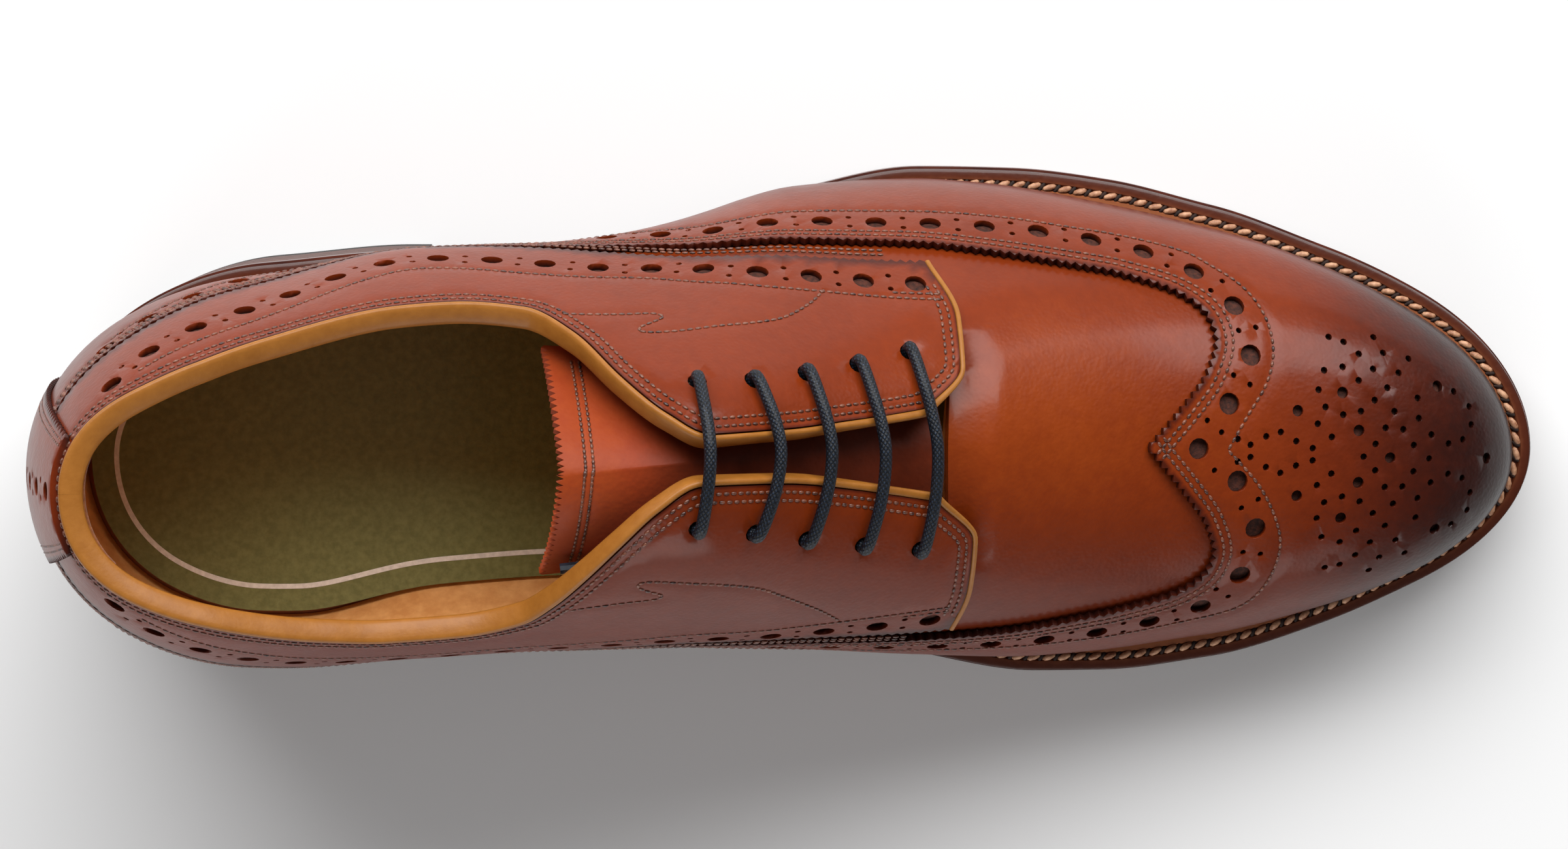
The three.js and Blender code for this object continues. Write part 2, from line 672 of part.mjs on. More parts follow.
for (const { side, word } of sides) {
  const low = (u) => mix(liningLow, overLow, clamp((u - 0.66) / 0.07, 0, 1));
  const width = (u) => mix(bindingWidth, bindingFrontWidth, clamp((u - 0.76) / 0.06, 0, 1));
  add(
    "topline_binding_" + word,
    edgeStrip(side, quarterColumns + quarterRows, gap, width, low, overTop + rollProud),
    mustard,
    0.45,
  );
}

// Tongue: hinged by its crease at the throat, under the lace.
const tongueBack = 102;
const tongueFront = 179.6;
const tongueSideOut = [[100, 0.54], [115, 0.5], [130, 0.42], [160, 0.33], [180, 0.27]];
const tongueSideIn = [[100, 0.47], [115, 0.44], [130, 0.39], [160, 0.32], [180, 0.27]];
const tongueHollow = 5; // how far its free edge curves in
const frontTop = baseTop - throatDip;
const frontLow = frontTop - tongueThickness;
const tongueRamp = 2.22 * (frontTop - tongueTop); // it sinks under the lace over this length
const tongueDrop = (px) => clamp((tongueFront - px) / tongueRamp, 0, 1);
function tonguePart(margin, frontOffset, offset) {
  const pattern = (u, v) => {
    const across = 2 * v - 1;
    const front = tongueFront - 4.5 * across * across - margin;
    const back = tongueBack + tongueHollow * (1 - across * across) + margin;
    const px = mix(back, front, u);
    const edge = across < 0 ? tongueSideOut : tongueSideIn;
    return [px, 1 + across * (along(edge, px) - margin * 0.01)];
  };
  return (u, v) => {
    const [px, t] = pattern(u, v);
    return upper(runOf(px), t, mix(frontOffset, offset, tongueDrop(px)));
  };
}
add(
  "tongue",
  sheet(11, 6, tonguePart(0, frontTop, tongueTop), tonguePart(0, frontLow, tongueLow)),
  tan,
  0.42,
);
const tongueLiningMargin = 2;
const tongueSeamDrop = 4 * layerGap; // the lining hangs this far below the tongue at its crease
add(
  "tongue_lining",
  sheet(
    11,
    6,
    tonguePart(tongueLiningMargin, frontLow - tongueSeamDrop, tongueLiningTop),
    tonguePart(tongueLiningMargin, frontLow - tongueSeamDrop - liningThickness, tongueLiningLow),
  ),
  liningTan,
  0.75,
);

// ---------- bottom ----------
const weltTop = (x) => feather(x) - gap;
const weltLow = (x) => weltTop(x) - weltThickness;
const soleTop = (x) => weltLow(x) - gap;
const soleLow = (x) => soleTop(x) - outsoleThickness;
add("outsole", plate(solePoint, 40, 3, soleTop, soleLow), naturalLeather, 0.6);
add("welt", ring(80, solePoint, inset(featherPoint, ribInset - 1), weltTop, weltLow), edgeBrown, 0.5);
add(
  "insole_rib",
  ring(48, inset(featherPoint, ribInset), inset(featherPoint, ribInset + ribWidth), weltTop, weltLow),
  0xd8cdb8,
  0.9,
);
const insoleEdge = -liningLow + liningRoom + 0.9;
const insoleLow = (x) => feather(x);
const insoleTop = (x) => feather(x) + insoleThickness;
add("insole", plate(inset(featherPoint, insoleEdge), 24, 2, insoleTop, insoleLow), naturalLeather, 0.8);
const sockLow = (x) => insoleTop(x) + gap;
const sockTop = (x) => sockLow(x) + sockThickness;
const sockInset = 2.3;
// The sock reaches the lining, at its own height above the feather.
function sockPoint(u) {
  const run = (((u % 1) + 1) % 1) * 2 * runTotal;
  const outer = run <= runTotal;
  const own = outer ? run : 2 * runTotal - run;
  const px = stationOf(own) / gradeX;
  const power = along(outer ? last.roundOut : last.roundIn, px);
  const full = along(last.ridgeRise, px) * gradeZ;
  const profile = rounded(last.tip - px, last.profileRound, last.profilePower);
  const level = insoleThickness + gap + sockThickness / 2;
  const share = Math.min(0.6, level / Math.max(full * profile, level));
  const t = Math.asin(Math.pow(share, power / 2)) / quarterTurn;
  const p = upper(own, outer ? t : 2 - t, liningLow);
  return [p.x, p.y];
}
add("sock", plate(inset(sockPoint, sockInset), 24, 2, sockTop, sockLow), 0x8c8c4b, 0.7);

// Shank: a steel strip let into the cork under the arch.
const shankCentre = (x) => {
  const px = x / gradeX;
  return ((along(sole.out, px) - along(sole.in, px)) / 2) * gradeY;
};
const shankTop = (x) => weltTop(x) - 0.4;
function shankBar(grow, low, high) {
  const place = (height) => (u, v) => {
    const x = mix(shankFrom * gradeX - grow, shankTo * gradeX + grow, u);
    const y = shankCentre(x) + (v - 0.5) * (shankWidth + 2 * grow);
    return new THREE.Vector3(x, y, height(x));
  };
  return sheet(16, 1, place(high), place(low));
}
const slotGrow = 0.4;
add("shank", shankBar(0, (x) => shankTop(x) - shankThickness, shankTop), 0x8a8d92, 0.35, 0.9);
add(
  "cork_filler",
  cut(plate(inset(featherPoint, ribInset + ribWidth + 0.6), 22, 2, weltTop, weltLow), [
    shankBar(slotGrow, (x) => shankTop(x) - shankThickness - slotGrow, (x) => weltTop(x) + 2),
  ]),
  0x9a6b45,
  0.95,
);

// Heel: top piece on the ground, then lifts; the last lift is wedged to the outsole.
const breastStation = last.back + (heelBreast / patternLength) * (last.tip - last.back);
const heelReach = runOf(breastStation) / runTotal;
const heelPlate = (top, low) => plate(solePoint, 11, 3, top, low, heelReach, breastBow);
const liftStep = (heelHeight - topPieceThickness) / liftCount - 1; // the last lift takes the rest
const heelCentre = [40 * gradeX, -5 * gradeY];
const heelRadii = [40 * gradeX, 37 * gradeY];
const nailSweep = 0.78 * Math.PI; // either way from the heel's back
const nails = [];
for (let k = 0; k < nailCount; k++) {
  const turn = mix(-nailSweep, nailSweep, k / (nailCount - 1));
  const [reachX, reachY] = heelRadii.map((radius) => radius - nailInset);
  nails.push([heelCentre[0] - reachX * Math.cos(turn), heelCentre[1] + reachY * Math.sin(turn)]);
}
const nailBase = 0.3;
const nailHole = ([x, y]) =>
  bar(
    new THREE.Vector3(x, y, -1),
    new THREE.Vector3(x, y, nailBase + nailLength + gap),
    nailRadius + gap,
    6,
  );
nails.forEach(([x, y], k) =>
  add(
    "heel_nail_" + (k + 1),
    bar(new THREE.Vector3(x, y, nailBase), new THREE.Vector3(x, y, nailBase + nailLength), nailRadius),
    0xc9a24a,
    0.4,
    0.9,
  ),
);
const holes = nails.map(nailHole);
add(
  "heel_top_piece",
  cut(heelPlate(() => topPieceThickness - gap, () => 0), holes),
  0x2b2320,
  0.8,
);
for (let k = 0; k < liftCount; k++) {
  const low = topPieceThickness + k * liftStep;
  const high = low + liftStep - gap;
  const top = k === liftCount - 1 ? (x) => soleLow(x) - gap : () => high;
  const lift = heelPlate(top, () => low);
  const nailed = low < nailBase + nailLength;
  add("heel_lift_" + (k + 1), nailed ? cut(lift, holes) : lift, edgeBrown, 0.45);
}

// ---------- lace: one cord through the five pairs, its ends tucked under the facings ----------
const barBow = [1.6, 3.9, 3.8, 3.6, 3.2]; // each bar curves this far towards the toe
const barPoints = 6;
const tailSink = 0.6;
const underLift = 0.3;
function laceRoute() {
  const route = [];
  const spot = (station, t, offset) => route.push(upper(runOf(station), t, offset));
  const inward = [[93, 0.35], [100, 0.38], [107, 0.43], [114, 0.5], [121, 0.58], [127, 0.665]];
  inward.forEach(([station, t]) => spot(station, t, laceUnder - tailSink));
  lacePairs.forEach((pair, k) => {
    const from = k % 2 === 0 ? 1 : -1;
    const start = from > 0 ? pair.out : pair.in;
    const end = from > 0 ? pair.in : pair.out;
    const [a, b] = [onSide(from, start[1]), onSide(-from, end[1])];
    spot(start[0], a, laceUnder + underLift);
    spot(start[0], a, -0.5);
    for (let i = 0; i <= barPoints; i++) {
      const w = i / barPoints;
      const arch = Math.sin(Math.PI * w);
      const rise = i === 0 || i === barPoints ? laceOver - 0.4 : laceOver;
      spot(mix(start[0], end[0], w) + barBow[k] * arch, mix(a, b, w), rise);
    }
    spot(end[0], b, -0.5);
    spot(end[0], b, laceUnder + underLift);
    if (k < lacePairs.length - 1) {
      const next = from > 0 ? lacePairs[k + 1].in : lacePairs[k + 1].out;
      spot(mix(end[0], next[0], 0.5), onSide(-from, mix(end[1], next[1], 0.5)), laceUnder);
    }
  });
  const outward = [[168, 0.71], [160, 0.685], [150, 0.665], [139, 0.655], [130, 0.65], [121, 0.635]];
  outward.forEach(([station, t]) => spot(station, 2 - t, laceUnder - tailSink));
  return route;
}
// A curve whose steps are its own points, so that the tight turns keep theirs.
class Route extends THREE.Curve {
  constructor(points) {
    super();
    this.points = points;
  }
  getPoint(u) {
    const at = u * (this.points.length - 1);
    const i = Math.min(this.points.length - 2, Math.floor(at));
    return this.points[i].clone().lerp(this.points[i + 1], at - i);
  }
  getPointAt(u) {
    return this.getPoint(u);
  }
  getTangentAt(u) {
    const step = 1 / (this.points.length - 1);
    const before = this.getPoint(Math.max(0, u - step));
    return this.getPoint(Math.min(1, u + step)).sub(before).normalize();
  }
}
const route = laceRoute();
const round = new THREE.Shape();
for (let i = 0; i < 8; i++) {
  const angle = (i / 8) * 2 * Math.PI;
  const x = (laceDiameter / 2) * Math.cos(angle);
  const y = (laceDiameter / 2) * Math.sin(angle);
  if (i === 0) round.moveTo(x, y);
  else round.lineTo(x, y);
}
add(
  "lace",
  new THREE.ExtrudeGeometry(round, { steps: route.length - 1, extrudePath: new Route(route) }),
  0x28374a,
  0.7,
);
const tips = [
  { word: "start", end: route[0], next: route[1] },
  { word: "finish", end: route[route.length - 1], next: route[route.length - 2] },
];
for (const { word, end, next } of tips) {
  const way = end.clone().sub(next).normalize();
  const from = end.clone().addScaledVector(way, gap);
  add(
    "aglet_" + word,
    bar(from, from.clone().addScaledVector(way, agletLength), laceDiameter / 2 - 0.1),
    0x20262e,
    0.3,
  );
}
// The origin goes under the middle of the whole shoe's box, at the level of the ground.
const box = new THREE.Box3().setFromObject(shoe, true);
shoe.position.set(-(box.min.x + box.max.x) / 2, -(box.min.y + box.max.y) / 2, -box.min.z);

export default shoe;
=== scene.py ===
import math

import bpy
import numpy as np
from mathutils import Matrix, Vector, geometry, kdtree


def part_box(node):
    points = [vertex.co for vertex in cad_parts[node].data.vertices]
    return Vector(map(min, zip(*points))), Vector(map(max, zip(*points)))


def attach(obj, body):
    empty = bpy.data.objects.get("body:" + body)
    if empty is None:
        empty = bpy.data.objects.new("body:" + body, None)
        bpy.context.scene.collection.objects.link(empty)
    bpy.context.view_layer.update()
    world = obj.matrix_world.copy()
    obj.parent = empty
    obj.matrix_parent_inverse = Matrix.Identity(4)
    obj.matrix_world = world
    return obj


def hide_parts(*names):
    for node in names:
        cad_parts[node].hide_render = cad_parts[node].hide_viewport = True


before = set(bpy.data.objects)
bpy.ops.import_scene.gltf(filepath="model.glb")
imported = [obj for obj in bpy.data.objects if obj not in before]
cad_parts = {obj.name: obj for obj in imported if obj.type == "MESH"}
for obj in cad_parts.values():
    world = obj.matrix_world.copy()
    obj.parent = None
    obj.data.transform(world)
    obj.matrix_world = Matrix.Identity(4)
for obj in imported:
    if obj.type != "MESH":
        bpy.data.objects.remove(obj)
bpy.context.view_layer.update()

outsoleLow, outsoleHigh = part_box("outsole")
heelBack = outsoleLow.x
centreLine = (outsoleLow.y + outsoleHigh.y) / 2
print("frame loaded")

# The form the upper is pulled over, in millimetres from the heel back, as in the part.
form = {
    "back": 1.5, "tip": 295.3, "heelEase": 32, "toeEase": 40,
    "out": [(0, 29.8), (20, 30.2), (45, 32.5), (75, 38.3), (100, 39.4), (125, 42.5), (150, 48.4),
            (175, 50), (190, 49), (215, 44.7), (240, 39), (260, 35.5), (280, 33.6), (295, 33.6)],
    "in": [(0, 43.2), (20, 43.1), (50, 44.3), (75, 42.9), (100, 42), (125, 42.3), (150, 43.9),
           (175, 46), (195, 47), (210, 46.2), (235, 42.8), (260, 39.7), (280, 39), (295, 39)],
    "ridgeSide": [(0, -4.5), (60, -4), (100, -2), (135, 1.2), (175, 0.5), (220, -0.8), (260, -3.5),
                  (295, -5.5)],
    "ridgeRise": [(0, 85), (70, 81.5), (100, 83), (130, 85.5), (150, 78), (175, 66.8), (200, 54),
                  (220, 45.4), (240, 38.2), (260, 32), (280, 27.3), (295, 23.5)],
    "tuckOut": [(0, 4), (50, 4), (80, 7.5), (105, 6.5), (130, 2), (150, 1), (200, 1.5), (295, 2)],
    "tuckIn": [(0, 4), (50, 5), (80, 10.5), (110, 11), (140, 6), (165, 2.5), (200, 1.5), (295, 2)],
    "roundOut": [(0, 2.1), (60, 2), (100, 1.75), (130, 1.55), (160, 1.55), (200, 1.9), (240, 2.2),
                 (270, 2.4)],
    "roundIn": [(0, 2.1), (60, 2), (200, 2.1), (240, 2.2), (270, 2.4)],
    "heelRound": (40, 2.05), "toeRound": (62, 1.95), "profileRound": (40, 2.3),
    "tuckHeight": 24, "backHollow": 75,
}
bottom = {
    "length": 301.5,
    "out": [(0, 31.5), (20, 32.2), (45, 34.4), (70, 36.4), (95, 36.4), (120, 40.2), (150, 48.2),
            (175, 52.8), (195, 52.4), (215, 50), (237, 44.6), (260, 39.5), (280, 38), (301.5, 38)],
    "in": [(0, 43), (20, 43), (45, 42.6), (65, 39), (85, 34.8), (105, 33), (125, 35), (150, 42),
           (175, 48.7), (200, 52.8), (215, 52.6), (237, 49.6), (260, 45.5), (280, 43.5),
           (301.5, 43.5)],
    "middle": [(0, -4.2), (60, -3.5), (150, 0), (240, -1.5), (301.5, -5)],
    "heelRise": [(0, 1), (40, 0.98), (75, 0.88), (100, 0.68), (130, 0.36), (160, 0.1), (190, 0),
                 (301.5, 0)],
    "toeRise": [(0, 0), (215, 0), (240, 0.12), (270, 0.45), (301.5, 1)],
    "heelHeight": 25, "toeSpring": 10, "stack": 8.0, "heelRound": (42, 2.05), "toeRound": (66, 1.95),
    "weltThickness": 2.7, "outsoleThickness": 4.7, "gap": 0.3,
}
# Heights over the form, low and high: leather, leather lapped over it, lining, back strap,
# heel grip, tongue and its lining.
layers = {"base": (-1.3, 0.0), "over": (0.4, 1.7), "lining": (-2.7, -1.7), "backstay": (1.78, 2.78),
          "grip": (-4.1, -3.1), "tongue": (-8.65, -7.35), "tongueLining": (-10.05, -9.05)}


def along(stations, x):
    # a smooth curve through the stations, without overshoot
    xs, ys = np.array(stations, float).T
    span, slope = np.diff(xs), np.diff(ys) / np.diff(xs)
    tangent = np.zeros(len(xs))
    tangent[0], tangent[-1] = slope[0], slope[-1]
    for k in range(1, len(xs) - 1):
        before, after = slope[k - 1], slope[k]
        if before * after > 0:
            a, b = span[k - 1], span[k]
            tangent[k] = (a + b) / ((a / 3 + 2 * b / 3) / before + (2 * a / 3 + b / 3) / after)
    x = np.asarray(x, float)
    k = np.clip(np.searchsorted(xs, x, side="left") - 1, 0, len(xs) - 2)
    h = span[k]
    u = np.clip((x - xs[k]) / h, -0.5, 1.5)
    u2, u3 = u * u, u * u * u
    return ((2 * u3 - 3 * u2 + 1) * ys[k] + (u3 - 2 * u2 + u) * tangent[k] * h
            + (3 * u2 - 2 * u3) * ys[k + 1] + (u3 - u2) * tangent[k + 1] * h)


def lengthAlong(points):
    steps = np.linalg.norm(np.diff(points, axis=0), axis=1)
    return np.concatenate([[0], np.cumsum(steps)])


def unit(vectors):
    return vectors / np.maximum(np.linalg.norm(vectors, axis=-1, keepdims=True), 1e-9)


def splined(knots, samples, endIn=False):
    # a smooth curve through the knots; endIn puts the last knot into the last span
    p = np.vstack([2 * knots[0] - knots[1], knots, 2 * knots[-1] - knots[-2]])
    made = []
    for k in range(1, len(p) - 2):
        u = np.linspace(0, 1, samples, endpoint=endIn and k == len(p) - 3)[:, None]
        a, b, c, d = p[k - 1], p[k], p[k + 1], p[k + 2]
        made.append(0.5 * (2 * b + (c - a) * u + (2 * a - 5 * b + 4 * c - d) * u ** 2
                           + (3 * b - a - 3 * c + d) * u ** 3))
    return np.vstack(made)


def rounded(distance, reach, power):
    return (1 - (1 - np.clip(distance / reach, 0, 1)) ** power) ** (1 / power)


def feather(x):
    rise = bottom["heelHeight"] * along(bottom["heelRise"], x)
    return bottom["stack"] + rise + bottom["toeSpring"] * along(bottom["toeRise"], x)


quarterTurn = math.pi / 2
heelRun = form["heelEase"] * quarterTurn
straightRun = form["tip"] - form["back"] - form["heelEase"] - form["toeEase"]
runTotal = heelRun + straightRun + form["toeEase"] * quarterTurn


def stationOf(run):
    run = np.asarray(run, float)
    heel = form["back"] + form["heelEase"] * (1 - np.cos(run / form["heelEase"]))
    toe = form["tip"] - form["toeEase"] * (1 - np.cos((runTotal - run) / form["toeEase"]))
    straight = form["back"] + form["heelEase"] + run - heelRun
    return np.where(run < heelRun, heel, np.where(run < heelRun + straightRun, straight, toe))


def runOf(station):
    x = np.asarray(station, float)
    heel = form["heelEase"] * np.arccos(np.clip(1 - (x - form["back"]) / form["heelEase"], -1, 1))
    toe = form["toeEase"] * np.arccos(np.clip(1 - (form["tip"] - x) / form["toeEase"], -1, 1))
    straight = heelRun + x - form["back"] - form["heelEase"]
    near, far = x < form["back"] + form["heelEase"], x >= form["tip"] - form["toeEase"]
    return np.where(near, heel, np.where(far, runTotal - toe, straight))


def formPoint(run, t):
    # t is 0 at the lateral feather line, 1 on the ridge, 2 at the medial feather line
    run, t = np.broadcast_arrays(np.asarray(run, float), np.asarray(t, float))
    t = np.where(run < 0, 2 - t, t)
    run = np.abs(run)
    t = np.where(run > runTotal, 2 - t, t)
    run = np.where(run > runTotal, 2 * runTotal - run, run)
    x = stationOf(run)
    outer = t <= 1
    sign = np.where(outer, 1.0, -1.0)
    ends = (rounded(x - form["back"], *form["heelRound"])
            * rounded(form["tip"] - x, *form["toeRound"]))
    profile = rounded(form["tip"] - x, *form["profileRound"])
    ridge = along(form["ridgeSide"], x)
    half = np.where(outer, along(form["out"], x), along(form["in"], x)) - sign * ridge
    power = np.where(outer, along(form["roundOut"], x), along(form["roundIn"], x))
    cosine, sine = np.abs(np.cos(t * quarterTurn)), np.clip(np.sin(t * quarterTurn), 0, 1)
    tuck = np.where(outer, along(form["tuckOut"], x), along(form["tuckIn"], x)) * ends * cosine
    rise = along(form["ridgeRise"], x) * profile * sine ** (2 / power)
    across = half * ends * cosine ** (2 / power)
    low = np.clip(1 - rise / form["tuckHeight"], 0, 1)
    y = ridge + sign * (across - tuck * low * low)
    h = (rise - 19) / 40
    hollow = np.where(h > 0, 8.5 * np.clip(h, 0, None) ** 1.7, 3 * (2 * h) ** 2)
    fade = np.clip(1 - (x - form["back"]) / form["backHollow"], 0, 1) ** 2
    return np.stack([x + hollow * fade, y, feather(x) + rise], axis=-1)


def outward(run, t):
    run, t = np.broadcast_arrays(np.asarray(run, float), np.asarray(t, float))
    guard, ds, dt = 0.8, 0.4, 0.004
    at = np.where(np.abs(run - runTotal) < guard,
                  np.where(run > runTotal, runTotal + guard, runTotal - guard), run)
    tt = np.clip(t, dt, 2 - dt)
    alongRun = formPoint(at + ds, tt) - formPoint(at - ds, tt)
    upWall = formPoint(at, tt + dt) - formPoint(at, tt - dt)
    return unit(np.cross(upWall, alongRun))


def upper(run, t, offset):
    offset = np.asarray(offset, float)
    p = formPoint(run, t) + outward(run, t) * (offset[..., None] if offset.ndim else offset)
    p[..., 2] = np.maximum(p[..., 2], feather(p[..., 0]))
    return p


def toFrame(p):
    # millimetres from the heel back, to the frame's metres
    p = np.array(p, float) / 1000
    p[..., 0] += heelBack
    p[..., 1] += centreLine
    return p


# The form laid flat: run along it, and girth from the ridge, positive on the lateral side.
tableRun, tableT = np.linspace(0, runTotal, 337), np.linspace(0, 1, 121)
girths = {}
for side in (1, -1):
    rows = formPoint(tableRun[:, None], (tableT if side > 0 else 2 - tableT)[None, :])
    steps = np.linalg.norm(np.diff(rows, axis=1), axis=2)
    girths[side] = np.concatenate([np.cumsum(steps[:, ::-1], 1)[:, ::-1], np.zeros((337, 1))], 1)


def girthRows(run, side):
    at = np.clip(np.asarray(run, float) / runTotal * 336, 0, 335.999)
    k = at.astype(int)
    share = (at - k)[:, None]
    return girths[side][k] * (1 - share) + girths[side][k + 1] * share


def flat(run, t):
    run, t = np.broadcast_arrays(np.atleast_1d(np.asarray(run, float)),
                                 np.atleast_1d(np.asarray(t, float)))
    made = np.zeros((len(run), 2))
    made[:, 0] = run
    for side in (1, -1):
        chosen = t <= 1 if side > 0 else t > 1
        own = np.where(t <= 1, t, 2 - t)[chosen]
        rows = girthRows(run[chosen], side)
        at = np.clip(own * 120, 0, 119.999)
        k = at.astype(int)
        n = np.arange(len(own))
        made[chosen, 1] = side * (rows[n, k] * (1 - at + k) + rows[n, k + 1] * (at - k))
    return made


def unflat(points):
    run, s = points[:, 0], points[:, 1]
    t = np.ones(len(run))
    for side in (1, -1):
        chosen = s >= 0 if side > 0 else s < 0
        rows = girthRows(run[chosen], side)
        own = np.abs(s[chosen])
        k = np.clip((rows > own[:, None]).sum(1), 1, 120)
        n = np.arange(len(own))
        a, b = rows[n, k - 1], rows[n, k]
        share = np.clip((a - own) / np.maximum(a - b, 1e-9), 0, 1)
        found = (k - 1 + share) / 120
        t[chosen] = found if side > 0 else 2 - found
    return run, t


def onForm(points, offset):
    run, t = unflat(points)
    return upper(run, t, offset)


def onSeam(points, offset):
    # laid flat at the back seam: run across it, and height as a share of the form times 80
    return upper(points[:, 0], points[:, 1] / 80, offset)


def metric(points, place):
    h = 0.5
    inner = points.copy()
    if place is onForm:
        for side in (1, -1):
            chosen = np.sign(points[:, 1] + 1e-9) == side
            limit = girthRows(points[chosen, 0], side)[:, 0] - 1.2
            inner[chosen, 1] = side * np.clip(np.abs(points[chosen, 1]), 0, np.maximum(limit, 0.2))
        inner[:, 0] = np.clip(inner[:, 0], 1, runTotal - 1.5)
    dx = (place(inner + [h, 0], 0.0) - place(inner - [h, 0], 0.0)) / (2 * h)
    dy = (place(inner + [0, h], 0.0) - place(inner - [0, h], 0.0)) / (2 * h)
    g = np.zeros((len(points), 2, 2))
    g[:, 0, 0], g[:, 1, 1] = (dx * dx).sum(1), (dy * dy).sum(1)
    g[:, 0, 1] = g[:, 1, 0] = (dx * dy).sum(1)
    return g


def evened(points, pitch, place=None, closed=False, count=None):
    # the same line with points a real pitch apart
    place = place or onForm
    points = np.asarray(points, float)
    if closed:
        points = np.vstack([points, points[:1]])
    length = lengthAlong(place(points, 0.0))
    n = count or max(2, int(round(length[-1] / pitch)))
    at = np.linspace(0, length[-1], n + 1)
    if closed:
        at = at[:-1]
    return np.stack([np.interp(at, length, points[:, k]) for k in (0, 1)], axis=1)


def drawn(stations, side=0, place=None, pitch=1.0):
    # a smooth line through given points [station, t]; side -1 puts it on the medial side
    knots = np.array(stations, float)
    t = 2 - knots[:, 1] if side < 0 else knots[:, 1]
    return evened(splined(flat(runOf(knots[:, 0]), t), 12, True), pitch, place)


def shifted(points, distance, place=None):
    # the line moved to its left by a real distance
    place = place or onForm
    run = unit(np.gradient(points, axis=0))
    left = np.stack([-run[:, 1], run[:, 0]], axis=1)
    g = metric(points, place)
    n = np.linalg.solve(g, left[..., None])[..., 0]
    size = np.sqrt(np.einsum("ni,nij,nj->n", n, g, n))
    return points + n / size[:, None] * np.asarray(distance, float).reshape(-1, 1)


def roundHole(centre, radius, sides=12, place=None, oval=1.0):
    centre = np.asarray(centre, float).reshape(1, 2)
    values, vectors = np.linalg.eigh(metric(centre, place or onForm)[0])
    spread = vectors @ np.diag(values ** -0.5) @ vectors.T
    angle = np.arange(sides) / sides * 2 * math.pi
    return centre + radius * (np.stack([np.cos(angle) * oval, np.sin(angle)], 1) @ spread.T)


def inside(points, ring):
    found = np.zeros(len(points), bool)
    a, b = ring, np.roll(ring, -1, axis=0)
    for first in range(0, len(points), 4000):
        p = points[first:first + 4000]
        x, y = p[:, 0][:, None], p[:, 1][:, None]
        crosses = (a[:, 1] > y) != (b[:, 1] > y)
        rise = np.where(b[:, 1] == a[:, 1], 1e-12, b[:, 1] - a[:, 1])
        left = x < a[:, 0] + (y - a[:, 1]) / rise * (b[:, 0] - a[:, 0])
        found[first:first + 4000] = (crosses & left).sum(1) % 2 == 1
    return found


def pinked(line, pitch, depth, place=None):
    # a zigzag cut edge along a line
    even = evened(line, pitch / 2, place)
    tooth = np.where(np.arange(len(even)) % 2 == 0, depth / 2, -depth / 2)
    tooth[0] = tooth[-1] = 0
    return shifted(even, tooth, place)


def deselect():
    if bpy.context.object and bpy.context.object.mode != "OBJECT":
        bpy.ops.object.mode_set(mode="OBJECT")
    bpy.ops.object.select_all(action="DESELECT")


def active(piece):
    deselect()
    piece.select_set(True)
    bpy.context.view_layer.objects.active = piece


def editMesh(piece, *steps):
    active(piece)
    bpy.ops.object.mode_set(mode="EDIT")
    bpy.ops.mesh.select_all(action="SELECT")
    for step in steps:
        step()
    bpy.ops.object.mode_set(mode="OBJECT")


def faceOutwards():
    bpy.ops.mesh.normals_make_consistent(inside=False)


def mergeDoubles(reach):
    return lambda: bpy.ops.mesh.remove_doubles(threshold=reach)


def applyModifiers(piece):
    active(piece)
    for modifier in list(piece.modifiers):
        bpy.ops.object.modifier_apply(modifier=modifier.name)


def softEdges(piece, width, segments=2, angle=40):
    # width in millimetres
    bevel = piece.modifiers.new("edge", "BEVEL")
    bevel.width = width / 1000
    bevel.segments = segments
    bevel.limit_method = "ANGLE"
    bevel.angle_limit = math.radians(angle)
    applyModifiers(piece)


def smooth(piece, angle=40):
    active(piece)
    bpy.ops.object.shade_smooth_by_angle(angle=math.radians(angle))


def dress(piece, material):
    piece.data.materials.clear()
    piece.data.materials.append(material)


def finishPiece(piece, material, body="shoe", stands=()):
    dress(piece, material)
    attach(piece, body)
    if stands:
        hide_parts(*stands)
    return piece


def paint(piece, name, values):
    layer = piece.data.attributes.get(name) or piece.data.attributes.new(name, "FLOAT", "POINT")
    layer.data.foreach_set("value", np.asarray(values, np.float32))


def vertexPlaces(piece):
    co = np.zeros(len(piece.data.vertices) * 3)
    piece.data.vertices.foreach_get("co", co)
    return co.reshape(-1, 3)


def meshPiece(name, points, faces):
    mesh = bpy.data.meshes.new(name)
    mesh.from_pydata(np.asarray(points).tolist(), [], [list(map(int, f)) for f in faces])
    mesh.update()
    piece = bpy.data.objects.new(name, mesh)
    bpy.context.scene.collection.objects.link(piece)
    return piece


def smoothStep(value, low, high):
    u = np.clip((value - low) / (high - low), 0, 1)
    return u * u * (3 - 2 * u)


def toneOf(places):
    # how light the leather is painted: dye burnished at the toe and along the welt; down the medial side
    # burnish and painted shade together, and a little lighter on the lateral side as painted sheen
    p = np.asarray(places, float) * 1000
    x, y = p[:, 0] - heelBack * 1000, p[:, 1]
    height = p[:, 2] - feather(x)
    ridge = along(form["ridgeRise"], x)
    toe = smoothStep(x, 240, 288)
    low = 1 - smoothStep(height, 2, 20)
    # burnish and painted shade: darker down the medial side, away from the key light
    medial = smoothStep(-y, 2, 42)
    # painted sheen: a little lighter on the lateral side, where the key light falls
    lateral = smoothStep(y, 12, 40)
    heel = 1 - smoothStep(x, 2, 40)
    tone = 0.74 - 0.5 * toe - 0.18 * low - 0.12 * medial * (1 - 0.4 * toe) + 0.02 * lateral
    tone = tone - 0.25 * heel * (1 - smoothStep(height, 20, 60))
    vamp = np.exp(-((x - 200) / 38) ** 2 - ((y - 6) / 26) ** 2) * smoothStep(height / ridge, 0.5, 0.9)
    return np.clip(tone + 0.18 * vamp, 0.02, 1)


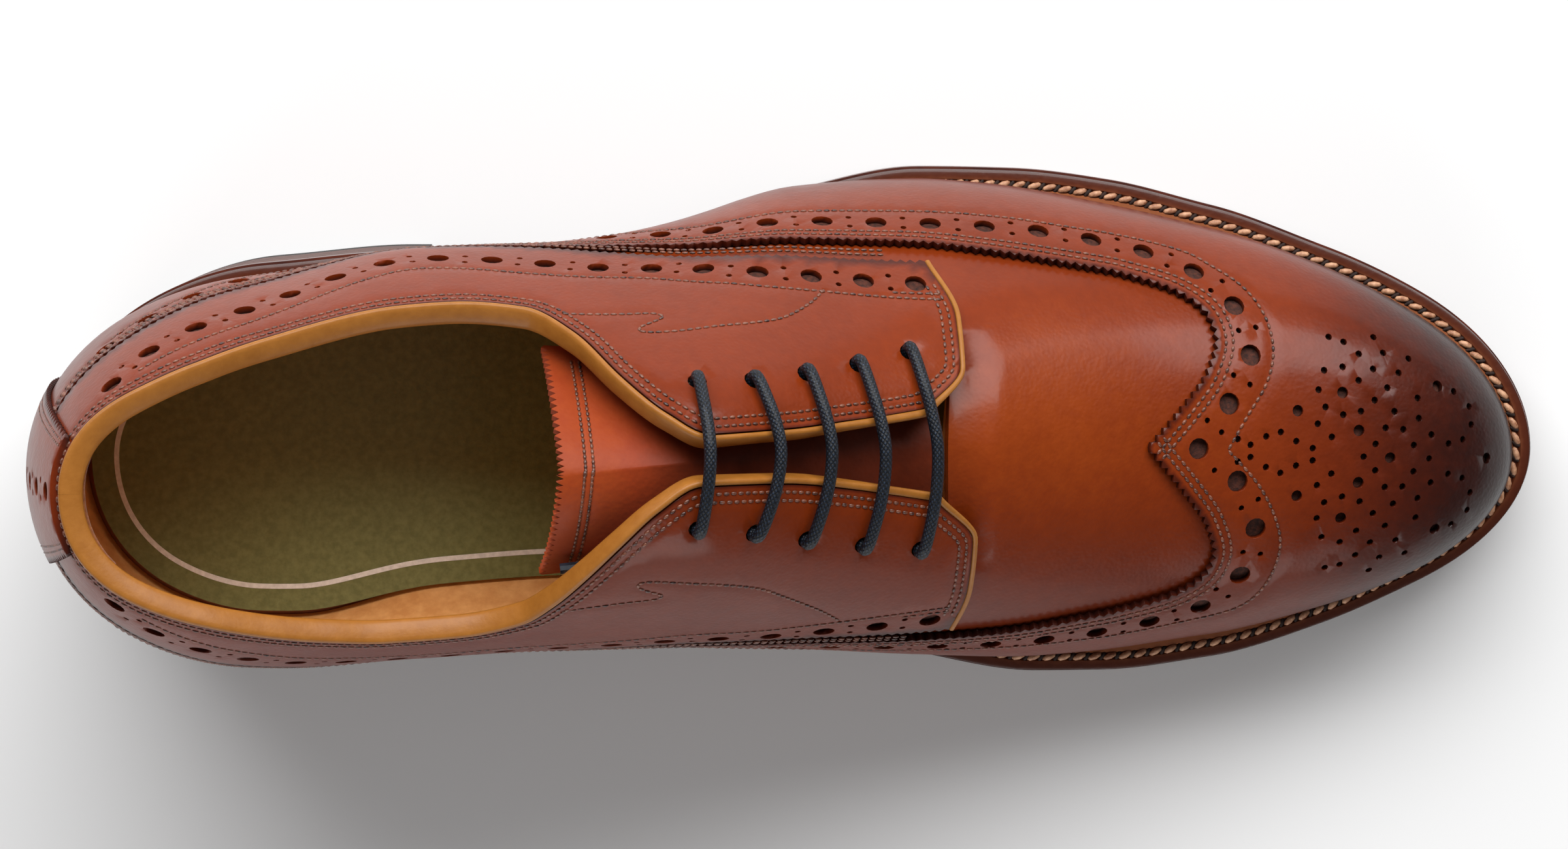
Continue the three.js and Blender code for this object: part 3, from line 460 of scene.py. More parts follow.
def cutSheet(name, outline, high, low, place=None, holes=(), dents=(), spacing=2.4, bevel=0.16):
    # leather cut flat with its holes and pinked edge, then pulled over the form
    place = place or onForm
    rings = [np.asarray(outline, float)] + [np.asarray(h, float) for h in holes]
    flatPoints, edges, tags = [], [], []
    for number, ring in enumerate(rings):
        start = len(flatPoints)
        flatPoints.extend(ring.tolist())
        edges.extend([(start + k, start + (k + 1) % len(ring)) for k in range(len(ring))])
        tags.extend([number] * len(ring))
    sinks = [0.0] * len(flatPoints)
    kept = list(flatPoints)

    def treeOf(items):
        tree = kdtree.KDTree(len(items))
        for k, p in enumerate(items):
            tree.insert((p[0], p[1], 0), k)
        tree.balance()
        return tree

    tree = treeOf(kept)
    holeCentres = [(ring.mean(0), np.abs(ring - ring.mean(0)).max()) for ring in rings[1:]]

    def free(candidates, reach):
        good = inside(candidates, rings[0])
        for centre, radius in holeCentres:
            good &= np.abs(candidates - centre).max(1) > radius * 1.04
        return [p for p, ok in zip(candidates.tolist(), good)
                if ok and tree.find((p[0], p[1], 0))[2] > reach]

    for line, depth, half in dents:
        even = evened(line, 1.3, place)
        flanks = [(shifted(even, way * half, place), 0) for way in (1, -1)]
        for row, sink in [(even, depth)] + flanks:
            added = free(row, 0.5)
            kept.extend(added)
            sinks.extend([sink] * len(added))
            tags.extend([-1] * len(added))
    tree = treeOf(kept)
    lowest, highest = rings[0].min(0), rings[0].max(0)
    columns = np.arange(lowest[0], highest[0], spacing)
    rowsAt = np.arange(lowest[1], highest[1], spacing * 0.87)
    gridX, gridY = np.meshgrid(columns, rowsAt)
    gridX = gridX + (np.arange(len(rowsAt)) % 2)[:, None] * spacing / 2
    grid = free(np.stack([gridX.ravel(), gridY.ravel()], 1), spacing * 0.55)
    kept.extend(grid)
    sinks.extend([0.0] * len(grid))
    tags.extend([-1] * len(grid))
    made = geometry.delaunay_2d_cdt([Vector(p) for p in kept], edges, [], 0, 1e-5)
    points = np.array([tuple(v) for v in made[0]])
    source = [o[0] if len(o) else -1 for o in made[3]]
    tag = np.array([tags[k] if k >= 0 else -1 for k in source])
    sink = np.array([sinks[k] if k >= 0 else 0.0 for k in source])
    triangles = np.array([f for f in made[2] if len(f) == 3])
    centres = points[triangles].mean(1)
    good = inside(centres, rings[0])
    corner = tag[triangles]
    inHole = (corner[:, 0] > 0) & (corner[:, 0] == corner[:, 1]) & (corner[:, 1] == corner[:, 2])
    triangles = triangles[good & ~inHole]
    heights = [bound(points) if callable(bound) else np.full(len(points), float(bound))
               for bound in (high, low)]
    top, under = place(points, heights[0] - sink), place(points, heights[1])
    a, b, c = (top[triangles[:, k]] for k in range(3))
    if np.einsum("ni,ni->", np.cross(b - a, c - a), (top - under)[triangles[:, 0]]) < 0:
        triangles = triangles[:, ::-1]
    count = len(points)
    seen = {}
    for tri in triangles.tolist():
        for k in range(3):
            seen[(tri[k], tri[(k + 1) % 3])] = True
    rim = [(v, u) for u, v in seen if (v, u) not in seen]
    faces = triangles.tolist() + (triangles[:, ::-1] + count).tolist()
    faces += [(u, v, v + count, u + count) for u, v in rim]
    piece = meshPiece(name, toFrame(np.vstack([top, under])), faces)
    tone = toneOf(toFrame(top))
    edgeInkAndShade = np.ones(count)
    edgeInkAndShade[tag == 0] = 0.5  # the outer cut edge is inked dark, and darkened with painted shade too
    paint(piece, "tone", np.concatenate([tone * edgeInkAndShade, tone * 0.25]))
    editMesh(piece, mergeDoubles(1e-6), bpy.ops.mesh.delete_loose)
    if bevel:
        softEdges(piece, bevel, 1, 50)
    smooth(piece, 42)
    return piece


def layered(name, columns, rows, top, under, closed=False):
    # a grid pulled into shape, then extruded to its thickness; top and under take arrays u, v
    deselect()
    bpy.ops.mesh.primitive_grid_add(x_subdivisions=columns, y_subdivisions=rows, size=1)
    piece = bpy.context.object
    piece.name = piece.data.name = name
    co = vertexPlaces(piece)
    paint(piece, "shareU", co[:, 0] + 0.5)
    paint(piece, "shareV", co[:, 1] + 0.5)
    editMesh(piece, lambda: bpy.ops.mesh.extrude_region_move(
        TRANSFORM_OT_translate={"value": (0, 0, 1)}))
    count = len(piece.data.vertices)
    shares = []
    for attribute in ("shareU", "shareV"):
        values = np.zeros(count, np.float32)
        piece.data.attributes[attribute].data.foreach_get("value", values)
        shares.append(values.astype(float))
    upperLayer = vertexPlaces(piece)[:, 2] > 0.5
    u, v = shares
    places = np.where(upperLayer[:, None], top(u, v), under(u, v))
    piece.data.vertices.foreach_set("co", toFrame(places).ravel())
    piece.data.update()
    for attribute in ("shareU", "shareV"):
        piece.data.attributes.remove(piece.data.attributes[attribute])
    editMesh(piece, mergeDoubles(2e-6), faceOutwards)
    paint(piece, "tone", toneOf(vertexPlaces(piece)))
    return piece


def swept(name, rings, closed=True, capped=True):
    # a closed section carried along a path: rings is an array [path, section, 3]
    count, sides = rings.shape[:2]
    faces = []
    for i in range(count if closed else count - 1):
        j = (i + 1) % count
        for k in range(sides):
            m = (k + 1) % sides
            faces.append((i * sides + k, i * sides + m, j * sides + m, j * sides + k))
    if capped and not closed:
        faces.append(tuple(range(sides))[::-1])
        faces.append(tuple((count - 1) * sides + k for k in range(sides)))
    piece = meshPiece(name, toFrame(rings.reshape(-1, 3)), faces)
    editMesh(piece, faceOutwards)
    paint(piece, "tone", toneOf(vertexPlaces(piece)))
    return piece


def copies(name, places, axes):
    # one small round-ended stitch, copied along a seam: axes is [length, width, height] vectors
    deselect()
    bpy.ops.mesh.primitive_uv_sphere_add(segments=6, ring_count=4, radius=1)
    pattern = bpy.context.object
    co = vertexPlaces(pattern)
    co = np.stack([co[:, 2], co[:, 0], co[:, 1]], 1)
    faces = [tuple(f.vertices) for f in pattern.data.polygons]
    bpy.data.objects.remove(pattern)
    points = places[:, None, :] + np.einsum("vk,nki->nvi", co, axes)
    size = len(co)
    allFaces = [tuple(k * size + v for v in f) for k in range(len(places)) for f in faces]
    piece = meshPiece(name, toFrame(points.reshape(-1, 3)), allFaces)
    paint(piece, "tone", np.repeat(np.random.default_rng(3).uniform(0, 1, len(places)), size))
    editMesh(piece, faceOutwards)
    smooth(piece, 80)
    return piece


def stitchAxes(ahead, side, up, spec):
    # the half axes of stitches that lean by the slant, length first
    turn = spec.get("slant", 0)
    lean = ahead * math.cos(turn) + side * math.sin(turn)
    flank = np.cross(up, lean)
    return np.stack([lean * spec["length"] / 2, flank * spec["width"] / 2,
                     up * spec["height"] / 2], axis=1)


def seamStitches(lines, stitch, offset, place=None):
    # places and axes of the stitches along lines on the form
    place = place or onForm
    allPlaces, allAxes = [], []
    for line in lines:
        even = evened(line, stitch["pitch"], place)
        middles = (even[:-1] + even[1:]) / 2
        height = offset(middles) if callable(offset) else offset
        centre = place(middles, height)
        ahead = unit(place(even[1:], 0.0) - place(even[:-1], 0.0))
        up = unit(place(middles, 1.0) - place(middles, 0.0))
        allPlaces.append(centre)
        allAxes.append(stitchAxes(ahead, np.cross(up, ahead), up, stitch))
    return np.vstack(allPlaces), np.vstack(allAxes)


def sewn(name, seam, finish, body="shoe"):
    finishPiece(copies(name, *seam), finishes[finish], body)


# materials
def newNode(tree, kind, inputs=None, **settings):
    made = tree.nodes.new("ShaderNode" + kind)
    for key, value in settings.items():
        setattr(made, key, value)
    for key, value in (inputs or {}).items():
        socket = made.inputs[key]
        if isinstance(value, bpy.types.NodeSocket):
            tree.links.new(value, socket)
        else:
            socket.default_value = value
    return made


def srgb(*channels):
    def linear(c):
        c = c / 255
        return c / 12.92 if c <= 0.04045 else ((c + 0.055) / 1.055) ** 2.4
    return (*[linear(c) for c in channels], 1)


def newMaterial(name, roughness=0.5, **shader):
    material = bpy.data.materials.new(name)
    material.use_nodes = True
    tree = material.node_tree
    principled = tree.nodes["Principled BSDF"]
    principled.inputs["Roughness"].default_value = roughness
    for key, value in shader.items():
        principled.inputs[key.replace("_", " ")].default_value = value
    return material, tree, principled


def ramp(tree, factor, stops):
    made = newNode(tree, "ValToRGB", {"Fac": factor})
    elements = made.color_ramp.elements
    while len(elements) < len(stops):
        elements.new(0.5)
    for element, (position, colour) in zip(elements, stops):
        element.position = position
        element.color = colour
    return made.outputs["Color"]


def noise(tree, scale, detail=3.0, roughness=0.55, stretch=None):
    coords = newNode(tree, "TexCoord").outputs["Object"]
    if stretch:
        coords = newNode(tree, "Mapping", {"Vector": coords, "Scale": stretch}).outputs["Vector"]
    made = newNode(tree, "TexNoise", {"Vector": coords, "Scale": scale, "Detail": detail,
                                      "Roughness": roughness})
    return made.outputs["Fac"]


def math2(tree, operation, a, b):
    return newNode(tree, "Math", {0: a, 1: b}, operation=operation).outputs[0]


def bumped(tree, principled, height, distance, strength=1.0):
    bump = newNode(tree, "Bump", {"Height": height, "Distance": distance, "Strength": strength})
    tree.links.new(bump.outputs["Normal"], principled.inputs["Normal"])
    return bump


def dyedLeather(name, stops, look):
    # burnished calf: colour by the tone attribute, which holds the dye with some painted shade and sheen,
    # fine mottling, faint grain and pores
    material, tree, principled = newMaterial(
        name, look["roughness"], Coat_Weight=look["coat"], Coat_Roughness=look["coatRoughness"],
        Specular_IOR_Level=0.15, Sheen_Weight=look.get("sheen", 0.0))
    tone = newNode(tree, "Attribute", attribute_name="tone").outputs["Fac"]
    cloud = math2(tree, "MULTIPLY_ADD", noise(tree, 38, 4, 0.6), look["cloud"])
    cloud.node.inputs[2].default_value = -look["cloud"] / 2
    fine = math2(tree, "MULTIPLY_ADD", noise(tree, 420, 2, 0.6), look["mottle"])
    fine.node.inputs[2].default_value = -look["mottle"] / 2
    factor = math2(tree, "ADD", math2(tree, "ADD", tone, cloud), fine)
    tree.links.new(ramp(tree, factor, stops), principled.inputs["Base Color"])
    rough = math2(tree, "MULTIPLY_ADD", noise(tree, 260, 2, 0.5), look["roughVary"])
    rough.node.inputs[2].default_value = look["roughness"] - look["roughVary"] / 2
    tree.links.new(rough, principled.inputs["Roughness"])
    coords = newNode(tree, "TexCoord").outputs["Object"]
    cells = newNode(tree, "TexVoronoi", {"Vector": coords, "Scale": look["grainScale"]},
                    feature="SMOOTH_F1")
    height = math2(tree, "MULTIPLY_ADD", noise(tree, look["grainScale"] * 0.7, 3, 0.6), 0.6)
    tree.links.new(cells.outputs["Distance"], height.node.inputs[2])
    bumped(tree, principled, height, look["grainDepth"], 0.6)
    return material


def simpleFinish(name, dark, light, look):
    # a surface with its own speckle, colour drift and bump
    material, tree, principled = newMaterial(name, look.get("roughness", 0.6),
                                             **look.get("shader", {}))
    mixed = noise(tree, look.get("scale", 200), look.get("detail", 4), 0.6, look.get("stretch"))
    stops = [(look.get("low", 0.35), dark), (look.get("high", 0.65), light)]
    tree.links.new(ramp(tree, mixed, stops), principled.inputs["Base Color"])
    if look.get("bump"):
        relief = noise(tree, look.get("bumpScale", 900), 3, 0.6, look.get("stretch"))
        bumped(tree, principled, relief, look["bump"], 0.8)
    return material


calfStops = [(0.0, srgb(20, 7, 5)), (0.22, srgb(44, 14, 8)), (0.42, srgb(76, 24, 7)),
             (0.62, srgb(104, 35, 7)), (0.82, srgb(126, 46, 9)), (1.0, srgb(146, 60, 13))]
calfLook = {"roughness": 0.4, "roughVary": 0.12, "coat": 0.22, "coatRoughness": 0.18, "cloud": 0.22,
            "mottle": 0.16, "grainScale": 1300, "grainDepth": 0.00009}
tongueLook = {"roughness": 0.55, "roughVary": 0.1, "coat": 0.1, "coatRoughness": 0.4, "cloud": 0.2,
              "mottle": 0.16, "grainScale": 1100, "grainDepth": 0.0001, "sheen": 0.1}
weltLook = dict(calfLook, coat=0.3, cloud=0.12, grainScale=900)
finishes = {
    "calf": dyedLeather("burnished_calf", calfStops, calfLook),
    "tongue": dyedLeather("tongue_calf", [(0.0, srgb(70, 24, 8)), (0.5, srgb(144, 52, 14)),
                                          (1.0, srgb(184, 86, 28))], tongueLook),
    "binding": simpleFinish("mustard_binding", srgb(150, 92, 30), srgb(168, 108, 42), {
        "roughness": 0.46, "scale": 420, "low": 0.2, "high": 0.8, "bump": 0.00006, "bumpScale": 1400,
        "shader": {"Specular_IOR_Level": 0.3, "Coat_Weight": 0.08, "Coat_Roughness": 0.2}}),
    "lining": simpleFinish("tan_lining", srgb(218, 148, 80), srgb(238, 172, 102), {
        "roughness": 0.7, "scale": 300, "bump": 0.00006, "bumpScale": 1300}),
    "suede": simpleFinish("heel_suede", srgb(120, 66, 30), srgb(160, 96, 48), {
        "roughness": 0.95, "scale": 900, "bump": 0.0001, "bumpScale": 2600,
        "shader": {"Sheen_Weight": 0.5}}),
    "sock": simpleFinish("olive_sock", srgb(102, 108, 62), srgb(120, 126, 76), {
        "roughness": 0.5, "scale": 700, "bump": 0.00006, "bumpScale": 1500}),
    "foil": simpleFinish("silver_foil", srgb(214, 216, 212), srgb(238, 240, 236), {
        "roughness": 0.3, "scale": 900, "shader": {"Specular_IOR_Level": 0.8}}),
    # the light end of the thread's speckle stands in for highlights on the stitches: painted highlight
    "thread": simpleFinish("waxed_thread", srgb(52, 21, 13), srgb(132, 78, 56), {
        "roughness": 0.42, "scale": 520, "bump": 0.00004, "bumpScale": 5200,
        "shader": {"Coat_Weight": 0.3}}),
    "weltThread": simpleFinish("welt_thread", srgb(150, 96, 66), srgb(214, 164, 128), {
        "roughness": 0.5, "scale": 700, "bump": 0.00007, "bumpScale": 3400}),
    "prick": simpleFinish("prick_marks", srgb(26, 12, 7), srgb(48, 24, 14), {
        "roughness": 0.8, "scale": 700}),
    "welt": dyedLeather("welt_leather", [(0.0, srgb(44, 15, 9)), (0.4, srgb(84, 36, 18)),
                                         (1.0, srgb(164, 98, 62))], weltLook),
    "edge": simpleFinish("inked_edge", srgb(62, 23, 13), srgb(92, 37, 19), {
        "roughness": 0.4, "scale": 90, "stretch": (1, 1, 14), "bump": 0.00003, "bumpScale": 300,
        "shader": {"Specular_IOR_Level": 0.25, "Coat_Weight": 0.3, "Coat_Roughness": 0.2}}),
    "heel": simpleFinish("stacked_heel", srgb(58, 26, 15), srgb(92, 44, 25), {
        "roughness": 0.5, "scale": 110, "stretch": (1, 1, 10), "bump": 0.00005, "bumpScale": 420,
        "shader": {"Specular_IOR_Level": 0.2, "Coat_Weight": 0.12, "Coat_Roughness": 0.3}}),
    "rubber": simpleFinish("heel_rubber", srgb(24, 22, 21), srgb(42, 39, 37), {
        "roughness": 0.75, "scale": 700, "bump": 0.00012, "bumpScale": 1800}),
    "bareLeather": simpleFinish("bark_tanned", srgb(168, 122, 78), srgb(200, 154, 106), {
        "roughness": 0.6, "scale": 240, "bump": 0.00008, "bumpScale": 1100}),
    # dark sheet colour: painted shade seen in the brogue holes
    "holeShadeSheet": simpleFinish("hole_shade_sheet", srgb(44, 18, 10), srgb(84, 40, 24), {
        "roughness": 0.85, "scale": 1300, "bump": 0.00012, "bumpScale": 2600}),
    "cork": simpleFinish("cork_filling", srgb(104, 66, 38), srgb(186, 136, 88), {
        "roughness": 0.95, "scale": 520, "bump": 0.0003, "bumpScale": 620}),
    "tape": simpleFinish("cotton_tape", srgb(196, 186, 164), srgb(226, 218, 200), {
        "roughness": 0.9, "scale": 900, "bump": 0.00012, "bumpScale": 1500}),
    "steel": simpleFinish("blued_steel", srgb(96, 100, 106), srgb(150, 154, 160), {
        "roughness": 0.35, "scale": 300, "stretch": (1, 12, 12), "shader": {"Metallic": 0.95}}),
    "brass": simpleFinish("nail_brass", srgb(160, 122, 52), srgb(208, 168, 84), {
        "roughness": 0.4, "scale": 800, "shader": {"Metallic": 0.95}}),
    "aglet": simpleFinish("aglet_plastic", srgb(22, 26, 32), srgb(40, 46, 56), {
        "roughness": 0.3, "scale": 400, "shader": {"Coat_Weight": 0.4}}),
}
print("finishes mixed")

# pattern lines on the form, [station, t]
wingTop = {
    1: [(0, 0.4), (13, 0.37), (25, 0.32), (40, 0.24), (55, 0.17), (70, 0.14), (85, 0.16),
        (100, 0.2), (121, 0.27), (147, 0.36), (173, 0.41), (199, 0.47), (213, 0.49)],
    -1: [(0, 0.4), (13, 0.37), (26, 0.32), (44, 0.24), (60, 0.18), (75, 0.16), (100, 0.18),
         (130, 0.25), (161, 0.33), (187, 0.4), (206, 0.46), (213, 0.48)],
}
wingFront = {
    "station": [(0, 213), (0.2, 225), (0.4, 231.5), (0.55, 233), (0.7, 231), (0.85, 226), (1, 219)],
    1: [(0, 0.49), (0.2, 0.535), (0.4, 0.61), (0.55, 0.69), (0.7, 0.79), (0.85, 0.89), (1, 1)],
    -1: [(0, 0.48), (0.2, 0.53), (0.4, 0.61), (0.55, 0.69), (0.7, 0.79), (0.85, 0.89), (1, 1)],
}
quarterLow = {
    1: [(0, 0.412), (13, 0.382), (25, 0.332), (40, 0.252), (55, 0.182), (70, 0.153), (85, 0.174),
        (100, 0.218), (112, 0.275), (125, 0.335), (147, 0.42), (175, 0.475), (186, 0.49)],
    -1: [(0, 0.412), (13, 0.382), (26, 0.332), (44, 0.252), (60, 0.193), (75, 0.173),
         (100, 0.195), (112, 0.24), (130, 0.305), (161, 0.385), (187, 0.455)],
}
topline = {
    1: [(0, 0.605), (10, 0.605), (19, 0.6), (34, 0.565), (48, 0.505), (60, 0.475), (73, 0.455),
        (85, 0.445), (98, 0.47), (108, 0.562), (117, 0.697), (126, 0.815), (134, 0.888),
        (147, 0.888), (160, 0.872), (174, 0.856)],
    -1: [(0, 0.605), (10, 0.605), (19, 0.6), (34, 0.575), (48, 0.525), (60, 0.48), (72, 0.445),
         (85, 0.45), (98, 0.51), (104, 0.59), (111, 0.7), (117, 0.79), (124, 0.88), (132, 0.94),
         (147, 0.935), (160, 0.915), (176, 0.88)],
}
quarterFront = {
    1: [(0, 174), (0.25, 181), (0.6, 180.5), (1, 175)],
    -1: [(0, 176), (0.25, 183.5), (0.6, 183), (1, 180)],
}
lacePairs = [
    ((131, 0.733), (131, 0.83)), ((141, 0.748), (141, 0.81)), ((151, 0.743), (151, 0.785)),
    ((161, 0.728), (162, 0.765)), ((171, 0.708), (173, 0.75)),
]
sides = ((1, "lateral"), (-1, "medial"))
seamHalf = 0.4


def onSide(side, t):
    return t if side > 0 else 2 - t


stitch = {"pitch": 1.55, "length": 1.32, "width": 0.74, "height": 0.62}
fineStitch = {"pitch": 1.3, "length": 1.15, "width": 0.42, "height": 0.3}
stitchSunk = 0.1
brogue = {"pitch": 10.8, "big": 2.15, "small": 0.62, "pairHalf": 1.9}


def brogueRow(line, place=None, spec=brogue):
    # big round holes with a pair of small ones between
    even = evened(line, spec["pitch"] / 2, place)
    if len(even) % 2 == 0:
        even = evened(line, 0, place, count=len(even))
    holes = [roundHole(p, spec["big"], 14, place) for p in even[::2]]
    for way in (1, -1):
        for p in shifted(even, way * spec["pairHalf"], place)[1::2]:
            holes.append(roundHole(p, spec["small"], 8, place))
    return holes


# wing: one band round the whole forepart, its holes, medallion and stitching
def wingEdge(side):
    own = np.linspace(seamHalf, float(runOf(213)), 150)
    band = flat(own, onSide(side, along(wingTop[side], stationOf(own))))
    w = np.linspace(0, 1, 40)[1:]
    front = flat(runOf(along(wingFront["station"], w)), onSide(side, along(wingFront[side], w)))
    return np.vstack([band, front])


wing = {
    "holesOut": [(16, 0.33), (28, 0.26), (42, 0.17), (56, 0.11), (70, 0.085), (86, 0.105),
                 (104, 0.15), (121, 0.215), (142, 0.285), (163, 0.33), (185, 0.36), (207, 0.375),
                 (220, 0.4), (230, 0.455), (236, 0.54), (240, 0.70), (236, 0.86), (229, 1.0)],
    "holesIn": [(16, 0.33), (28, 0.26), (44, 0.17), (60, 0.115), (76, 0.1), (100, 0.13),
                (130, 0.2), (161, 0.275), (187, 0.335), (210, 0.38), (222, 0.415), (231, 0.46),
                (239, 0.61), (241, 0.79), (236, 0.94), (229, 1.0)],
    "seamOut": [(17, 0.295), (30, 0.22), (44, 0.135), (58, 0.085), (72, 0.06), (88, 0.08),
                (105, 0.125), (121, 0.185), (147, 0.255), (174, 0.3), (200, 0.33), (213, 0.335),
                (227, 0.36), (233, 0.41), (239, 0.48), (243, 0.58), (244.5, 0.70), (243, 0.81),
                (239, 0.91), (235, 1.0)],
    "seamIn": [(17, 0.295), (30, 0.22), (46, 0.135), (62, 0.09), (78, 0.075), (102, 0.1),
               (130, 0.165), (161, 0.235), (187, 0.3), (200, 0.325), (214, 0.345), (227, 0.375),
               (238, 0.42), (243, 0.50), (246, 0.64), (246, 0.76), (242, 0.90), (235, 1.0)],
    "valley": 236,
    "mid": [(13.3, 8.3), (22.5, 12.2), (25.8, 5.1), (32.2, 0), (42, 13.8), (52.4, 0)],
    "small": [(1, 2.2), (3.6, 1.2), (6.8, 3), (9.8, 4), (13, 2.4), (16.4, 1.2), (17.4, 6), (19, 9.3),
              (17.6, 12.5), (18.8, 16.2), (20, 22.4), (22.6, 17), (23, 21.6), (22.6, 8), (20.3, 3.6),
              (25.8, 14.6), (26.2, 8.8), (26, 19.5), (26.8, 0), (29.2, 2.6), (29, 11), (28.8, 16.8),
              (29.2, 22.6), (31.6, 13.4), (33, 9), (31.2, 5.8), (34.8, 5.6), (31, 19.8), (34, 16.2),
              (36.2, 18.8), (37, 2.6), (38, 7.8), (37.8, 11.6), (40.6, 4.7), (40.2, 0), (44.2, 3),
              (47.2, 3.8), (49, 6.6), (48.6, 10), (45.4, 12.8)],
    "midRadius": 1.15, "smallRadius": 0.72,
}


def onRidge(ahead, across):
    # a spot that far ahead of the stitching's valley and that far across from the ridge
    x = wing["valley"] + ahead
    side = 1 if across >= 0 else -1
    t = np.linspace(0.25, 1, 400)
    reach = np.abs(formPoint(float(runOf(x)), onSide(side, t))[:, 1] - along(form["ridgeSide"], x))
    found = float(np.interp(-abs(across), -reach, t))
    return flat(float(runOf(x)), onSide(side, found))[0]


pinking = (1.9, 0.95)  # pitch and depth
edgeRows = (2.0, 3.5)  # how far the two rows of stitches stand in from a pinked edge
edges = {side: wingEdge(side) for side in (1, -1)}
wingPinked = {side: pinked(edges[side], *pinking) for side in (1, -1)}
feathers = {}
for side in (1, -1):
    own = np.linspace(seamHalf, runTotal - 0.3, 130)
    feathers[side] = flat(own, onSide(side, np.full(len(own), 0.0)))
wingOutline = np.vstack([feathers[1], feathers[-1][::-1], wingPinked[-1], wingPinked[1][::-1][1:]])
wingHoles, wingSeams = [], []
for side, rowName, seamName in ((1, "holesOut", "seamOut"), (-1, "holesIn", "seamIn")):
    row = drawn(wing[rowName], side)
    wingHoles += brogueRow(row)
    inwards = 1 if side < 0 else -1
    for distance in edgeRows:
        wingSeams.append(evened(shifted(edges[side], inwards * -distance), 1.0))
    wingSeams.append(drawn(wing[seamName], side))
valleyHoles = [h for h in wingHoles if abs(h.mean(0)[1]) < 1.0]
for extra in valleyHoles[1:]:
    wingHoles = [h for h in wingHoles if h is not extra]
for ahead, across in wing["mid"]:
    for way in ((1, -1) if across else (1,)):
        wingHoles.append(roundHole(onRidge(ahead, across * way), wing["midRadius"], 12))
for ahead, across in wing["small"]:
    for way in ((1, -1) if across else (1,)):
        wingHoles.append(roundHole(onRidge(ahead, across * way), wing["smallRadius"], 8))
wingDents = [(line, 0.22, 0.75) for line in wingSeams]
overLow, overTop = layers["over"]
wingPiece = cutSheet("wing_leather", wingOutline, overTop, overLow, holes=wingHoles, dents=wingDents)
finishPiece(wingPiece, finishes["calf"], stands=["wing_tip"])
# a dark sheet under the wing's holes: painted shade seen through them
holeShadeOutline = np.vstack([evened(feathers[1], 5), evened(feathers[-1], 5)[::-1],
                            shifted(evened(edges[-1], 5), -1.5)[1:],
                            shifted(evened(edges[1], 5), 1.5)[::-1][1:]])
holeShadeLevels = (0.32, 0.08)
wingHoleShadeSheet = cutSheet("wing_hole_shade_sheet", holeShadeOutline, *holeShadeLevels, spacing=5, bevel=0)
finishPiece(wingHoleShadeSheet, finishes["holeShadeSheet"])
sewn("wing_stitches", seamStitches(wingSeams, stitch, overTop - stitchSunk), "thread")
print("wing cut")

# quarters
quarterHoleRow = {
    1: [(16, 0.53), (23, 0.475), (36, 0.41), (48, 0.35), (59, 0.29), (69, 0.255), (77, 0.245),
        (84, 0.26), (94, 0.28), (105, 0.32), (116, 0.36), (128, 0.39), (138, 0.44), (149, 0.48),
        (161, 0.51), (173, 0.535)],
    -1: [(16, 0.53), (24, 0.475), (38, 0.4), (50, 0.33), (62, 0.28), (74, 0.25), (86, 0.255),
         (100, 0.275), (115, 0.305), (130, 0.345), (141, 0.365), (153, 0.405), (164, 0.445),
         (176, 0.485)],
}
quarterSeam = {
    1: [(22, 0.53), (41, 0.45), (53, 0.39), (66, 0.33), (76, 0.3), (86, 0.31), (97, 0.34),
        (109, 0.375), (122, 0.41), (135, 0.465), (147, 0.515), (166, 0.56), (178, 0.585)],
    -1: [(22, 0.53), (41, 0.44), (56, 0.36), (70, 0.31), (82, 0.3), (97, 0.32), (115, 0.35),
         (130, 0.39), (141, 0.41), (153, 0.45), (166, 0.5), (180, 0.545)],
}
swanNeck = {
    1: [(105, 0.50), (110, 0.508), (117, 0.518), (122.5, 0.525), (124.5, 0.54), (122, 0.552),
        (119.5, 0.566), (121, 0.578), (127, 0.585), (135, 0.59), (141, 0.597), (147, 0.595),
        (152, 0.565), (155, 0.53)],
    -1: [(105, 0.565), (111, 0.578), (117, 0.588), (122.5, 0.595), (124.5, 0.61), (122, 0.628),
         (119.5, 0.652), (121, 0.668), (129, 0.655), (141, 0.63), (147, 0.59), (154, 0.53),
         (158, 0.48)],
}
rimRows = (1.3, 2.9)


def toplineOf(side, x):
    return along(topline[side], np.minimum(x, quarterFront[side][0][1]))


def quarterEdges(side):
    corner = float(runOf(quarterFront[side][0][1]))
    own = np.linspace(seamHalf, corner, 200)
    top = flat(own, onSide(side, toplineOf(side, stationOf(own))))
    v = np.linspace(1, 0, 40)
    x = along(quarterFront[side], 1 - v)
    t = (1 - v) * along(quarterLow[side], x) + v * toplineOf(side, x)
    front = flat(runOf(x), onSide(side, t))
    own = np.linspace(float(runOf(quarterFront[side][-1][1])), seamHalf, 200)
    low = flat(own, onSide(side, along(quarterLow[side], stationOf(own))))
    return top, front, low


def laceHoles(side, radius, sidesCount=12):
    made = []
    for pair in lacePairs:
        station, t = pair[0] if side > 0 else pair[1]
        made.append(roundHole(flat(float(runOf(station)), onSide(side, t))[0], radius, sidesCount))
    return made


